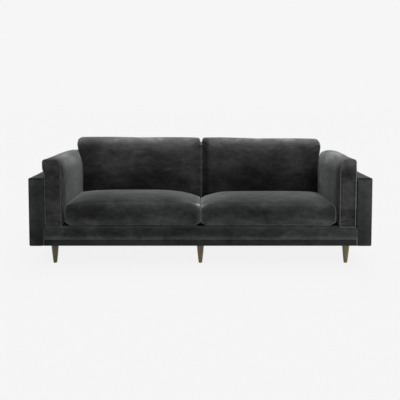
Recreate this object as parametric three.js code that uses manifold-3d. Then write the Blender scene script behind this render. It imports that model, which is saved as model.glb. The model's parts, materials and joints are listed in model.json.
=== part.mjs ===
// A three-seat velvet sofa: outer arms and outer back of one height, a webbed base on six turned legs,
// and six loose cushions (two seats, two backs, two arms) that stand proud of the outer shell.
// Millimetres. +X is the viewer's right, +Y the back, +Z up. The origin is on the floor under the middle.

import * as THREE from "three";
import { RoundedBoxGeometry } from "three/addons/geometries/RoundedBoxGeometry.js";
import { mergeVertices } from "three/addons/utils/BufferGeometryUtils.js";
import Module from "manifold-3d";

const wasm = await Module();
wasm.setup();

// Overall sizes
const overallWidth = 2300;
const overallDepth = 900;
const overallHeight = 808;
const legHeight = 136; // floor to the underside of the base
const shellHeight = 460; // outer arms and outer back
const baseHeight = 127; // underside of the base to the seat deck

// Clearances
const seatGap = 0.3; // between pieces that touch
const boltClearance = 0.3; // radial, round a bolt or stud
const cutOverrun = 5; // how far a cutting tool runs past the face it leaves

// Outer arms and outer back: padded covers over ladder frames
const shellThickness = 92;
const shellPadding = 14;
const shellEdgeRadius = 10;
const hemThickness = 2.7; // cloth turned under a frame
const hemDepth = 40;
const frameMember = 58; // width of a rail or post in a ladder frame
const armFrameBays = 2;
const backFrameBays = 4;

// Base front: a padded band that overhangs a plain lower band
const bandOverhang = 7;
const lowerBandHeight = 47;
const bandTopRadius = 12;
const bandBottomRadius = 7;
const lowerBandRadius = 4;
const lowerBandPadding = 10;
const lipDepth = 60;
const coverEndGap = 1.5; // between the base cover and each outer arm

// Base frame
const railThickness = 28;
const centreRailThickness = 30;
const deckPadThickness = 8;
const blockLength = 90; // leg blocks, along X
const blockDepth = 90; // front leg blocks, along Y
const blockHeight = 60;
const blockChamfer = 30;
const centreBlockWidth = 100;

// Elastic webbing, woven over and under
const strapWidth = 80;
const strapThickness = 1.6;
const strapBearing = 24; // how far a strap's end lies on its rail
const strapEase = 10; // flat run beyond a crossing, each side
const strapsPerSeat = 6;
const crossStraps = 3;

// Dust cover
const dustThickness = 0.8;
const dustEdgeInset = 7;
const dustPlateClearance = 2;

// Legs, their plates and the studs that they screw on to
const legInset = 80; // leg centre behind the base's front face, and before its rear face
const legEndInset = 152; // leg centre in from the outside of the sofa
const legTopRadius = 26;
const legFootRadius = 12;
const legFootRound = 3;
const legTopChamfer = 2;
const plateSize = 70;
const plateThickness = 2.2;
const plateCornerRadius = 8;
const plateScrewInset = 10;
const plateScrewRadius = 2.5;
const studRadius = 4;
const studLength = 30;
const studEndClearance = 4;

// Bolts that hold each outer arm to the base
const boltRadius = 4;
const boltLength = 84;
const boltHeadRadius = 6.5;
const boltHeadHeight = 5;
const boltFlangeRadius = 11;
const boltFlangeThickness = 2.5;
const boltHeightOnBase = 55; // bolt axis above the underside of the base
const boltEndInset = 190; // bolt axis in from each end of a side rail

// Arm cushions
const armCushionHeight = 455;
const armCushionDroop = 12; // how much lower the top is at the rear end
const armCushionThickness = 104; // seam to seam
const armCushionCrown = 13;
const armCushionCorner = 22;
const armCushionPull = 5;
const armCushionBulge = 5;
const armCushionSetback = 9; // seam behind the base's front face
const armCushionSideGap = 2; // to the outer arm
const armCushionRearGap = 66; // to the inside of the outer back

// Seat cushions
const seatBorderHeight = 124;
const seatCrown = 45;
const seatCorner = 34;
const seatPull = 5;
const seatBulge = 14;
const seatFootRise = 12; // the lower seam stands this far above the deck
const seatSetback = 30; // front seam behind the base's front face
const seatSideGap = 9; // to the arm cushion
const seatRearGap = 5; // to the fullest part of the back cushion
const middleGap = 2; // between the two seats, and between the two backs

// Back cushions
const backCushionThickness = 140; // seam to seam
const backFrontCrown = 28;
const backRearCrown = 8;
const backCorner = 26;
const backPull = 7;
const backBulge = 6;
const backSideGap = 11; // seam to the arm cushion's seam, less the bulge
const backFlare = 42; // how far the outer side swells out over the arm cushion's rounded top
const backFlareRise = 190; // height over which it does so
const backRestGap = 1; // to the top edge of the outer back
const backLean = THREE.MathUtils.degToRad(5.5);
const reachSteps = 24; // heights at which the back cushion's front face is tried

// Shares that shape a crowned face, and the steps along each side of a cushion
const crownPower = 3.2;
const restPower = 9; // a face that is pressed flat
const armFrontRoundShare = 0.4; // how much of an arm cushion's inner half is rounded off at its top
const armRearRoundShare = 0.7;
const armFrontRoundPower = 10;
const armRearRoundPower = 4;
const armDroopPower = 3;
const backFlareMiddleShare = 0.9; // height of the flare's middle, as a share of the arm cushion's
const faceRingShares = [0.3, 0.58, 0.8, 0.92, 0.975, 1];
const borderRingShares = [0.25, 0.5, 0.75];
const longSteps = 7;
const shortSteps = 6;
const armHeightSteps = 9;
const backHeightSteps = 12;
const cornerSteps = 3;
const roundSteps = 18;
const smallRoundSteps = 12;

// Places worked out from the sizes
const halfWidth = overallWidth / 2;
const frontY = -overallDepth / 2;
const rearY = overallDepth / 2;
const shellInnerX = halfWidth - shellThickness;
const shellFrontY = frontY + bandOverhang;
const shellTopZ = legHeight + shellHeight;
const backInnerY = rearY - shellThickness;
const baseTopZ = legHeight + baseHeight;
const webStack = 2 * strapThickness + 3 * seatGap;
const railTopZ = baseTopZ - deckPadThickness - webStack;
const railBottomZ = legHeight + hemThickness + seatGap;
const railHeight = railTopZ - railBottomZ;
const railFrontY = shellFrontY + lowerBandPadding + seatGap;
const railRearY = rearY - shellPadding - seatGap;
const sideRailX = shellInnerX - seatGap - railThickness / 2;
const betweenSideRails = 2 * (sideRailX - railThickness / 2 - seatGap);
const seatRailRearY = backInnerY - seatGap;
const seatRailFrontY = seatRailRearY - railThickness;
const frontRailRearY = railFrontY + railThickness;
const rearRailFrontY = railRearY - railThickness;
const plateTopZ = railBottomZ - seatGap;
const legTopZ = plateTopZ - plateThickness - seatGap;
const legX = halfWidth - legEndInset;
const frontLegY = frontY + legInset;
const rearLegY = rearY - legInset;
const deckZ = baseTopZ + seatGap;
const armCushionX =
  shellInnerX - armCushionSideGap - armCushionCrown - armCushionThickness / 2;
const armCushionSeamX = armCushionX - armCushionThickness / 2;
const armCushionFrontY = frontY + armCushionSetback;
const armCushionLength = backInnerY - armCushionRearGap - armCushionFrontY;

const velvet = new THREE.MeshStandardMaterial({ color: 0x3b3c3e, roughness: 0.95 });
const lining = new THREE.MeshStandardMaterial({ color: 0x1b1b1c, roughness: 0.95 });
const timber = new THREE.MeshStandardMaterial({ color: 0xc9a877, roughness: 0.75 });
const webbing = new THREE.MeshStandardMaterial({ color: 0xb9a98c, roughness: 0.9 });
const legWood = new THREE.MeshStandardMaterial({ color: 0x7b6c4e, roughness: 0.45 });
const steel = new THREE.MeshStandardMaterial({
  color: 0xa9abad,
  roughness: 0.35,
  metalness: 1,
});

// Solids: joining and cutting

function positionsOnly(geometry) {
  const bare = new THREE.BufferGeometry();
  bare.setAttribute("position", geometry.getAttribute("position"));
  bare.setIndex(geometry.index);
  return mergeVertices(bare);
}

function solidOf(geometry) {
  const bare = positionsOnly(geometry);
  return new wasm.Manifold(
    new wasm.Mesh({
      numProp: 3,
      vertProperties: new Float32Array(bare.attributes.position.array),
      triVerts: new Uint32Array(bare.index.array),
    }),
  );
}

function geometryOf(solid) {
  const mesh = solid.getMesh();
  const geometry = new THREE.BufferGeometry();
  geometry.setAttribute("position", new THREE.BufferAttribute(mesh.vertProperties, 3));
  geometry.setIndex(new THREE.BufferAttribute(mesh.triVerts, 1));
  geometry.computeVertexNormals();
  return geometry;
}

function cut(geometry, tools) {
  let solid = solidOf(geometry);
  for (const tool of tools) solid = solid.subtract(solidOf(tool));
  return geometryOf(solid);
}

function join(first, second) {
  return geometryOf(solidOf(first).add(solidOf(second)));
}

// Flat profiles and the ways they are swept

function polygon(points) {
  return new THREE.Shape(points.map(([a, b]) => new THREE.Vector2(a, b)));
}

function box(width, depth, height, x, y, z) {
  return new THREE.BoxGeometry(width, depth, height).translate(x, y, z);
}

// A cylinder along Z, or along X when it is laid down.
function rod(radius, length, x, y, z, laid) {
  const geometry = new THREE.CylinderGeometry(radius, radius, length, smallRoundSteps);
  if (laid) geometry.rotateZ(Math.PI / 2);
  else geometry.rotateX(Math.PI / 2);
  return geometry.translate(x, y, z);
}

// Swept up +Z, with the middle of the sweep at zero.
function sweepZ(shape, length) {
  const geometry = new THREE.ExtrudeGeometry(shape, {
    depth: length,
    bevelEnabled: false,
    curveSegments: smallRoundSteps / 2,
  });
  return geometry.translate(0, 0, -length / 2);
}

// A profile drawn in Y and Z, swept along X.
function sweepX(shape, length) {
  const turn = new THREE.Matrix4().set(0, 0, 1, 0, 1, 0, 0, 0, 0, 1, 0, 0, 0, 0, 0, 1);
  return sweepZ(shape, length).applyMatrix4(turn);
}

// A profile drawn in X and Z, swept along Y.
function sweepY(shape, length) {
  return sweepZ(shape, length).rotateX(Math.PI / 2);
}

// Turned pieces: a profile of [radius, height] points from the axis, round, and back to the axis.
function turned(profile, steps) {
  const points = profile.map(([radius, height]) => new THREE.Vector2(radius, height));
  return new THREE.LatheGeometry(points, steps).rotateX(Math.PI / 2);
}

// Points of a round edge about a centre, between two angles in quarter turns.
function arc(centreA, centreB, radius, fromQuarter, toQuarter, steps) {
  const points = [];
  for (let i = 0; i <= steps; i += 1) {
    const quarter = fromQuarter + ((toQuarter - fromQuarter) * i) / steps;
    const angle = (quarter * Math.PI) / 2;
    points.push([centreA + radius * Math.cos(angle), centreB + radius * Math.sin(angle)]);
  }
  return points;
}

function mesh(name, geometry, material, x, y, z) {
  const made = new THREE.Mesh(geometry, material);
  made.name = name;
  made.position.set(x, y, z);
  return made;
}

const sides = [
  { side: "left", sign: -1 },
  { side: "right", sign: 1 },
];

// Base frame

const boltZ = legHeight + boltHeightOnBase;
const boltPlaces = [railFrontY + boltEndInset, railRearY - boltEndInset];

// Holes for the arm bolts, through a piece whose own origin is at the given place.
function boltHoles(length, x, middleY, middleZ) {
  const radius = boltRadius + boltClearance;
  return boltPlaces.map((y) => rod(radius, length, x, y - middleY, boltZ - middleZ, true));
}

function sideRail(middleY, middleZ) {
  const rail = new THREE.BoxGeometry(railThickness, railRearY - railFrontY, railHeight);
  return cut(rail, boltHoles(railThickness + cutOverrun, 0, middleY, middleZ));
}

// The centre rail is notched over the front centre block.
function centreRail() {
  const start = frontRailRearY + seatGap;
  const end = seatRailFrontY - seatGap;
  const notchEnd = start + blockDepth + seatGap;
  const notchTop = railBottomZ + blockHeight + seatGap;
  const profile = [
    [notchEnd, railBottomZ],
    [end, railBottomZ],
    [end, railTopZ],
    [start, railTopZ],
    [start, notchTop],
    [notchEnd, notchTop],
  ];
  return sweepX(polygon(profile), centreRailThickness);
}

// A front corner block is cut off across its free corner.
function frontCornerBlock(sign) {
  const a = blockLength / 2;
  const b = blockDepth / 2;
  const points = [
    [-a, -b],
    [a, -b],
    [a, b],
    [-a + blockChamfer, b],
    [-a, b - blockChamfer],
  ].map(([x, y]) => [sign * x, y]);
  if (sign < 0) points.reverse();
  return sweepZ(polygon(points), blockHeight);
}

function buildBaseFrame() {
  const group = new THREE.Group();
  const railMiddleZ = (railBottomZ + railTopZ) / 2;
  const crossRail = () => new THREE.BoxGeometry(betweenSideRails, railThickness, railHeight);
  const crossRailPlaces = [
    ["front_rail", railFrontY + railThickness / 2],
    ["seat_rail", seatRailFrontY + railThickness / 2],
    ["rear_rail", rearRailFrontY + railThickness / 2],
  ];
  for (const [name, y] of crossRailPlaces) {
    group.add(mesh(name, crossRail(), timber, 0, y, railMiddleZ));
  }
  for (const { side, sign } of sides) {
    const y = (railFrontY + railRearY) / 2;
    const rail = sideRail(y, railMiddleZ);
    group.add(mesh(`side_rail_${side}`, rail, timber, sign * sideRailX, y, railMiddleZ));
  }
  group.add(mesh("centre_rail", centreRail(), timber, 0, 0, 0));

  const cornerX = betweenSideRails / 2 - seatGap - blockLength / 2;
  const frontBlockY = frontRailRearY + seatGap + blockDepth / 2;
  const blockZ = railBottomZ + blockHeight / 2;
  const rearBlockDepth = rearRailFrontY - seatRailRearY - 2 * seatGap;
  const rearBlockY = (rearRailFrontY + seatRailRearY) / 2;
  for (const { side, sign } of sides) {
    const front = frontCornerBlock(sign);
    const rear = new THREE.BoxGeometry(blockLength, rearBlockDepth, blockHeight);
    group.add(
      mesh(`front_block_${side}`, front, timber, sign * cornerX, frontBlockY, blockZ),
      mesh(`rear_block_${side}`, rear, timber, sign * cornerX, rearBlockY, blockZ),
    );
  }
  const frontCentre = new THREE.BoxGeometry(centreBlockWidth, blockDepth, blockHeight);
  const rearCentre = new THREE.BoxGeometry(centreBlockWidth, rearBlockDepth, blockHeight);
  group.add(
    mesh("front_block_centre", frontCentre, timber, 0, frontBlockY, blockZ),
    mesh("rear_block_centre", rearCentre, timber, 0, rearBlockY, blockZ),
  );
  return group;
}

// Webbing: each strap is a thin band whose middle line steps over and under the straps it crosses.

const strapLevel = (strapThickness + seatGap) / 2;
const webMiddleZ = railTopZ + seatGap + strapThickness / 2 + strapLevel;

function strapProfile(line) {
  const under = line.map(([along, level]) => [along, level - strapThickness / 2]);
  const over = line.map(([along, level]) => [along, level + strapThickness / 2]);
  return polygon([...under, ...over.reverse()]);
}

// line: flat runs given as [middle, half length, level].
function strapLine(runs) {
  return runs.flatMap(([middle, half, level]) => [
    [middle - half, level],
    [middle + half, level],
  ]);
}

function strapPlaces() {
  const bayStart = centreRailThickness / 2;
  const pitch = (betweenSideRails / 2 - bayStart) / strapsPerSeat;
  const right = Array.from({ length: strapsPerSeat }, (_, i) => bayStart + (i + 0.5) * pitch);
  return [...right.map((x) => -x).reverse(), ...right];
}

function crossStrapPlaces() {
  const pitch = (seatRailFrontY - frontRailRearY) / (crossStraps + 1);
  return Array.from({ length: crossStraps }, (_, j) => frontRailRearY + (j + 1) * pitch);
}

function buildWebbing() {
  const group = new THREE.Group();
  const lengthwise = strapPlaces();
  const crosswise = crossStrapPlaces();
  const flat = strapWidth / 2 + strapEase;
  const bearing = strapBearing / 2;
  const over = (i, j) => ((i + j) % 2 === 0 ? strapLevel : -strapLevel);

  const frontEnd = frontRailRearY - bearing;
  const rearEnd = seatRailFrontY + bearing;
  lengthwise.forEach((x, i) => {
    const runs = crosswise.map((y, j) => [y, flat, over(i, j)]);
    const line = strapLine([
      [frontEnd, bearing, -strapLevel],
      ...runs,
      [rearEnd, bearing, -strapLevel],
    ]);
    const name = `seat_strap_${i + 1}`;
    group.add(mesh(name, sweepX(strapProfile(line), strapWidth), webbing, x, 0, webMiddleZ));
  });

  const sideEnd = betweenSideRails / 2 + seatGap + bearing;
  const middle = lengthwise.length / 2;
  crosswise.forEach((y, j) => {
    const runs = lengthwise.map((x, i) => [x, flat, -over(i, j)]);
    const line = strapLine([
      [-sideEnd, bearing, -strapLevel],
      ...runs.slice(0, middle),
      [0, centreRailThickness / 2, -strapLevel],
      ...runs.slice(middle),
      [sideEnd, bearing, -strapLevel],
    ]);
    const name = `cross_strap_${j + 1}`;
    group.add(mesh(name, sweepY(strapProfile(line), strapWidth), webbing, 0, y, webMiddleZ));
  });
  return group;
}

// Base upholstery

// The front cover's section: lip over the rail, padded band, lower band, and the hem turned under.
function baseCoverProfile() {
  const innerY = railFrontY - seatGap;
  const innerTopZ = baseTopZ - deckPadThickness;
  const bandBottomZ = legHeight + lowerBandHeight;
  const hemTopZ = legHeight + hemThickness;
  const lipY = frontY + lipDepth;
  const hemY = frontY + hemDepth;
  const steps = 3;
  return polygon([
    [lipY, baseTopZ],
    ...arc(frontY + bandTopRadius, baseTopZ - bandTopRadius, bandTopRadius, 1, 2, steps),
    ...arc(frontY + bandBottomRadius, bandBottomZ + bandBottomRadius, bandBottomRadius, 2, 3, steps),
    ...arc(shellFrontY + lowerBandRadius, legHeight + lowerBandRadius, lowerBandRadius, 2, 3, steps),
    [hemY, legHeight],
    [hemY, hemTopZ],
    [innerY, hemTopZ],
    [innerY, innerTopZ],
    [lipY, innerTopZ],
  ]);
}

// A thin cloth with a square opening round each leg plate.
function dustCover(width, length, middleY) {
  const size = plateSize + 2 * dustPlateClearance;
  const depth = dustThickness + cutOverrun;
  const openings = [-legX, 0, legX].flatMap((x) =>
    [frontLegY, rearLegY].map((y) => box(size, size, depth, x, y - middleY, 0)),
  );
  return cut(new THREE.BoxGeometry(width, length, dustThickness), openings);
}

function buildBaseUpholstery() {
  const group = new THREE.Group();
  const coverLength = 2 * (shellInnerX - coverEndGap);
  group.add(mesh("base_cover", sweepX(baseCoverProfile(), coverLength), velvet, 0, 0, 0));

  const padWidth = 2 * (shellInnerX - seatGap);
  const padFront = frontY + lipDepth + seatGap;
  const padRear = backInnerY - seatGap;
  const padThickness = deckPadThickness - seatGap;
  const pad = new THREE.BoxGeometry(padWidth, padRear - padFront, padThickness);
  const padZ = baseTopZ - padThickness / 2;
  group.add(mesh("deck_pad", pad, lining, 0, (padFront + padRear) / 2, padZ));

  const dustWidth = 2 * (shellInnerX - dustEdgeInset);
  const dustFront = frontY + hemDepth + seatGap;
  const dustRear = rearY - hemDepth - seatGap;
  const dustY = (dustFront + dustRear) / 2;
  const dustZ = railBottomZ - seatGap - dustThickness / 2;
  const dust = dustCover(dustWidth, dustRear - dustFront, dustY);
  group.add(mesh("dust_cover", dust, lining, 0, dustY, dustZ));
  return group;
}

// Outer arms and outer back

// A ladder frame with one window per bay. It stands on its long side, along Y or along X.
function ladder(length, height, thickness, bays, alongX) {
  const block = (long, tall, deep, middle) =>
    alongX ? box(long, deep, tall, middle, 0, 0) : box(deep, long, tall, 0, middle, 0);
  const pitch = (length - frameMember) / bays;
  const first = (pitch - length + frameMember) / 2;
  const windows = Array.from({ length: bays }, (_, i) =>
    block(
      pitch - frameMember,
      height - 2 * frameMember,
      thickness + cutOverrun,
      first + i * pitch,
    ),
  );
  return cut(block(length, height, thickness, 0), windows);
}

const armMiddleX = halfWidth - shellThickness / 2;
const armMiddleY = (shellFrontY + rearY) / 2;
const armLength = rearY - shellFrontY;
const armFrameThickness = shellThickness - 2 * (shellPadding + seatGap);
const armFrameLength = armLength - 2 * (shellPadding + seatGap);
const armFrameBottomZ = railBottomZ;
const armFrameTopZ = shellTopZ - shellPadding - seatGap;
const armFrameMiddleZ = (armFrameBottomZ + armFrameTopZ) / 2;

// The bolts run through the lower rail of the frame.
function armFrame() {
  const height = armFrameTopZ - armFrameBottomZ;
  const frame = ladder(armFrameLength, height, armFrameThickness, armFrameBays, false);
  const holes = boltHoles(armFrameThickness + cutOverrun, 0, armMiddleY, armFrameMiddleZ);
  return cut(frame, holes);
}

// A padded skin with the frame's cavity inside, which opens only at the two bolt holes.
function armCover(sign) {
  const outer = new RoundedBoxGeometry(shellThickness, armLength, shellHeight, 2, shellEdgeRadius);
  const middleZ = legHeight + shellHeight / 2;
  const cavity = box(
    armFrameThickness + 2 * seatGap,
    armFrameLength + 2 * seatGap,
    armFrameTopZ - armFrameBottomZ + 2 * seatGap,
    0,
    0,
    armFrameMiddleZ - middleZ,
  );
  const skinX = -sign * (shellThickness / 2 - shellPadding / 2);
  const holes = boltHoles(shellPadding + 2 * cutOverrun, skinX, armMiddleY, middleZ);
  return cut(outer, [cavity, ...holes]);
}

// A flanged hexagon-head bolt, head down at zero and its shank up +Z.
function armBolt() {
  const headTop = -boltFlangeThickness;
  return turned(
    [
      [0, headTop - boltHeadHeight],
      [boltHeadRadius, headTop - boltHeadHeight],
      [boltHeadRadius, headTop],
      [boltFlangeRadius, headTop],
      [boltFlangeRadius, 0],
      [boltRadius, 0],
      [boltRadius, boltLength - boltRadius / 2],
      [boltRadius / 2, boltLength],
      [0, boltLength],
    ],
    smallRoundSteps,
  );
}

function buildArm({ side, sign }) {
  const group = new THREE.Group();
  const coverZ = legHeight + shellHeight / 2;
  const x = sign * armMiddleX;
  group.add(
    mesh(`arm_cover_${side}`, armCover(sign), velvet, x, armMiddleY, coverZ),
    mesh(`arm_frame_${side}`, armFrame(), timber, x, armMiddleY, armFrameMiddleZ),
  );
  const headX = sign * (sideRailX - railThickness / 2 - seatGap);
  boltPlaces.forEach((y, i) => {
    const bolt = mesh(`arm_bolt_${side}_${i + 1}`, armBolt(), steel, headX, y, boltZ);
    bolt.rotation.y = (sign * Math.PI) / 2;
    group.add(bolt);
  });
  return group;
}

// The back cover's section: inside back, top, and an outside back that runs down over the rear rail.
function backCoverProfile() {
  const innerFrontY = backInnerY + shellPadding;
  const innerRearY = rearY - shellPadding;
  const innerTopZ = shellTopZ - shellPadding;
  const hemTopZ = legHeight + hemThickness;
  const hemY = rearY - hemDepth;
  const radius = shellEdgeRadius;
  const steps = 3;
  return polygon([
    [backInnerY, railTopZ + seatGap],
    [innerFrontY, railTopZ + seatGap],
    [innerFrontY, innerTopZ],
    [innerRearY, innerTopZ],
    [innerRearY, hemTopZ],
    [hemY, hemTopZ],
    [hemY, legHeight],
    ...arc(rearY - lowerBandRadius, legHeight + lowerBandRadius, lowerBandRadius, 3, 4, steps),
    ...arc(rearY - radius, shellTopZ - radius, radius, 0, 1, steps),
    ...arc(backInnerY + radius, shellTopZ - radius, radius, 1, 2, steps),
  ]);
}

function buildBack() {
  const group = new THREE.Group();
  const length = 2 * (shellInnerX - seatGap);
  group.add(mesh("back_cover", sweepX(backCoverProfile(), length), velvet, 0, 0, 0));
  const frameBottomZ = railTopZ + seatGap;
  const frameTopZ = shellTopZ - shellPadding - seatGap;
  const thickness = shellThickness - 2 * (shellPadding + seatGap);
  const height = frameTopZ - frameBottomZ;
  const frame = ladder(length, height, thickness, backFrameBays, true);
  const y = rearY - shellThickness / 2;
  const z = (frameBottomZ + frameTopZ) / 2;
  group.add(mesh("back_frame", frame, timber, 0, y, z));
  return group;
}

// Legs

// A turned taper with a round foot, bored for the stud.
function leg() {
  const bore = studRadius + boltClearance;
  const boreEnd = legTopZ - studLength - studEndClearance;
  const round = arc(legFootRadius - legFootRound, legFootRound, legFootRound, 0, -1, 3);
  return turned(
    [
      [0, boreEnd],
      [bore, boreEnd],
      [bore, legTopZ],
      [legTopRadius - legTopChamfer, legTopZ],
      [legTopRadius, legTopZ - legTopChamfer],
      ...round,
      [0, 0],
    ].reverse(),
    roundSteps,
  );
}

function roundedSquare(size, radius) {
  const inner = size / 2 - radius;
  return polygon([
    ...arc(inner, -inner, radius, -1, 0, 2),
    ...arc(inner, inner, radius, 0, 1, 2),
    ...arc(-inner, inner, radius, 1, 2, 2),
    ...arc(-inner, -inner, radius, 2, 3, 2),
  ]);
}

// A steel plate with four screw holes and a stud that points down, its top face at zero.
function legPlate() {
  const middleZ = -plateThickness / 2;
  const blank = sweepZ(roundedSquare(plateSize, plateCornerRadius), plateThickness);
  const screw = plateSize / 2 - plateScrewInset;
  const depth = plateThickness + cutOverrun;
  const holes = [-screw, screw].flatMap((x) =>
    [-screw, screw].map((y) => rod(plateScrewRadius, depth, x, y, middleZ, false)),
  );
  const plate = cut(blank.translate(0, 0, middleZ), holes);
  const length = studLength + plateThickness;
  return join(plate, rod(studRadius, length, 0, 0, -length / 2, false));
}

function buildLegs() {
  const group = new THREE.Group();
  const rows = [
    ["front", frontLegY],
    ["rear", rearLegY],
  ];
  const columns = [
    ["left", -legX],
    ["centre", 0],
    ["right", legX],
  ];
  for (const [row, y] of rows) {
    for (const [column, x] of columns) {
      group.add(
        mesh(`leg_${row}_${column}`, leg(), legWood, x, y, 0),
        mesh(`leg_plate_${row}_${column}`, legPlate(), steel, x, y, plateTopZ),
      );
    }
  }
  return group;
}

// Cushions: one closed skin of rings, out across the low face, over the border, and in across
// the high face.
// Local axes: a and b lie in the two faces, c goes through the thickness.

// A rounded rectangle as points and outward directions, anticlockwise from the middle of its right side.
function roundedOutline({ halfA, halfB, corner, stepsA, stepsB }) {
  const corners = [
    [halfA - corner, halfB - corner, 0],
    [-halfA + corner, halfB - corner, 1],
    [-halfA + corner, -halfB + corner, 2],
    [halfA - corner, -halfB + corner, 3],
  ];
  const outline = [];
  corners.forEach(([centreA, centreB, quarter], k) => {
    for (let i = 0; i <= cornerSteps; i += 1) {
      const angle = ((quarter + i / cornerSteps) * Math.PI) / 2;
      const [outA, outB] = [Math.cos(angle), Math.sin(angle)];
      outline.push({ a: centreA + corner * outA, b: centreB + corner * outB, outA, outB });
    }
    const [nextA, nextB, nextQuarter] = corners[(k + 1) % corners.length];
    const angle = ((quarter + 1) * Math.PI) / 2;
    const [outA, outB] = [Math.cos(angle), Math.sin(angle)];
    const start = outline[outline.length - 1];
    const endA = nextA + corner * Math.cos((nextQuarter * Math.PI) / 2);
    const endB = nextB + corner * Math.sin((nextQuarter * Math.PI) / 2);
    const steps = quarter % 2 === 0 ? stepsA : stepsB;
    for (let i = 1; i < steps; i += 1) {
      const share = i / steps;
      const a = start.a + (endA - start.a) * share;
      const b = start.b + (endB - start.b) * share;
      outline.push({ a, b, outA, outB });
    }
  });
  return outline;
}

// pull is how far each side is drawn in at its middle. A standing cushion rests on its side at
// low b, which keeps its line.
function cushionRings(size) {
  const outline = roundedOutline(size);
  const pulled = (a, b) => {
    const [u, v] = [a / size.halfA, b / size.halfB];
    const drawnB = size.standing && b < 0 ? 0 : size.pull;
    return [
      a * (1 - (size.pull / size.halfA) * (1 - v * v)),
      b * (1 - (drawnB / size.halfB) * (1 - u * u)),
    ];
  };
  const crownAt = (a, b, power) => {
    const [u, v] = [Math.abs(a / size.halfA), Math.abs(b / size.halfB)];
    return (1 - Math.min(1, u) ** power) * (1 - Math.min(1, v) ** power);
  };
  const faceRing = (share, seam, crown, power) =>
    outline.map((point) => {
      const [a, b] = [point.a * share, point.b * share];
      return [...pulled(a, b), seam + crown * crownAt(a, b, power)];
    });
  const borderRing = (share) =>
    outline.map((point) => {
      const [a, b] = pulled(point.a, point.b);
      const out = size.bulge * Math.sin(share * Math.PI);
      const bulgedB = b + point.outB * out;
      const restB = size.standing ? Math.max(bulgedB, -size.halfB) : bulgedB;
      return [a + point.outA * out, restB, size.low + (size.high - size.low) * share];
    });
  const lowRings = faceRingShares.map((s) => faceRing(s, size.low, -size.lowCrown, size.lowPower));
  const highRings = faceRingShares.map((s) => faceRing(s, size.high, size.highCrown, crownPower));
  return {
    lowMiddle: [0, 0, size.low - size.lowCrown],
    rings: [...lowRings, ...borderRingShares.map(borderRing), ...highRings.reverse()],
    highMiddle: [0, 0, size.high + size.highCrown],
  };
}

// place turns local a, b, c into x, y, z.
function cushionGeometry(size, place) {
  const { lowMiddle, rings, highMiddle } = cushionRings(size);
  const points = [lowMiddle, ...rings.flat(), highMiddle].map(([a, b, c]) => place(a, b, c));
  const around = rings[0].length;
  const last = points.length - 1;
  const index = [];
  const at = (ring, i) => 1 + ring * around + (i % around);
  for (let i = 0; i < around; i += 1) {
    index.push(0, at(0, i + 1), at(0, i));
    for (let ring = 0; ring < rings.length - 1; ring += 1) {
      index.push(at(ring, i), at(ring, i + 1), at(ring + 1, i + 1));
      index.push(at(ring, i), at(ring + 1, i + 1), at(ring + 1, i));
    }
    index.push(last, at(rings.length - 1, i), at(rings.length - 1, i + 1));
  }
  const geometry = new THREE.BufferGeometry();
  geometry.setAttribute("position", new THREE.Float32BufferAttribute(points.flat(), 3));
  geometry.setIndex(index);
  geometry.computeVertexNormals();
  return geometry;
}

// The inner side is rounded off towards the top, and the outer side stands straight.
function armCushion(sign) {
  const size = {
    halfA: armCushionLength / 2,
    halfB: armCushionHeight / 2,
    low: -armCushionThickness / 2,
    high: armCushionThickness / 2,
    lowCrown: armCushionCrown,
    highCrown: armCushionCrown,
    lowPower: crownPower,
    corner: armCushionCorner,
    pull: armCushionPull,
    bulge: armCushionBulge,
    stepsA: longSteps,
    stepsB: armHeightSteps,
    standing: true,
  };
  const rearward = (a) => 0.5 + a / armCushionLength;
  const droop = (a, b) =>
    armCushionDroop * rearward(a) ** armDroopPower * (0.5 + b / armCushionHeight);
  const between = THREE.MathUtils.lerp;
  const thinned = (a, b) => {
    const roundShare = between(armFrontRoundShare, armRearRoundShare, rearward(a));
    const power = between(armFrontRoundPower, armRearRoundPower, rearward(a));
    return 1 - roundShare * Math.max(0, (2 * b) / armCushionHeight) ** power;
  };
  return cushionGeometry(size, (a, b, c) => {
    const inner = sign * c < 0;
    return [inner ? c * thinned(a, b) : c, a, b - droop(a, b)];
  });
}

const backInnerX = middleGap / 2 + backBulge;
const backOuterX = armCushionSeamX - backSideGap - backBulge;
const backHeight = overallHeight - deckZ - backBulge;
const leanAt = (height) => height * Math.tan(backLean);
// The seams at deck level: the rear crown leans on the top edge of the outer back.
const backSeamRearY = backInnerY - backRestGap - backRearCrown - leanAt(shellTopZ - deckZ);
const backSeamFrontY = backSeamRearY - backCushionThickness;

// The outer side follows the rounded top of the arm cushion beside it, and swells out over it.
function flareAt(height) {
  const base = backFlareMiddleShare * armCushionHeight - backFlareRise / 2;
  return backFlare * THREE.MathUtils.smoothstep(height, base, base + backFlareRise);
}

function backCushion(sign) {
  const size = {
    halfA: (backOuterX - backInnerX) / 2,
    halfB: backHeight / 2,
    low: -backCushionThickness / 2,
    high: backCushionThickness / 2,
    lowCrown: backRearCrown,
    highCrown: backFrontCrown,
    lowPower: crownPower,
    corner: backCorner,
    pull: backPull,
    bulge: backBulge,
    stepsA: longSteps,
    stepsB: backHeightSteps,
    standing: true,
  };
  return cushionGeometry(size, (a, b, c) => {
    const height = b + backHeight / 2;
    const outward = (1 + (sign * a) / size.halfA) / 2;
    return [a + sign * flareAt(height) * outward, leanAt(height) - c, b];
  });
}

// How far the fullest part of a back cushion's front face stands before its front seam at the deck.
function backFrontReach() {
  const heights = Array.from({ length: reachSteps + 1 }, (_, i) => (backHeight * i) / reachSteps);
  const crownShares = heights.map((h) => 1 - Math.abs((2 * h) / backHeight - 1) ** crownPower);
  return Math.max(...heights.map((h, i) => backFrontCrown * crownShares[i] - leanAt(h)));
}

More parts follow.
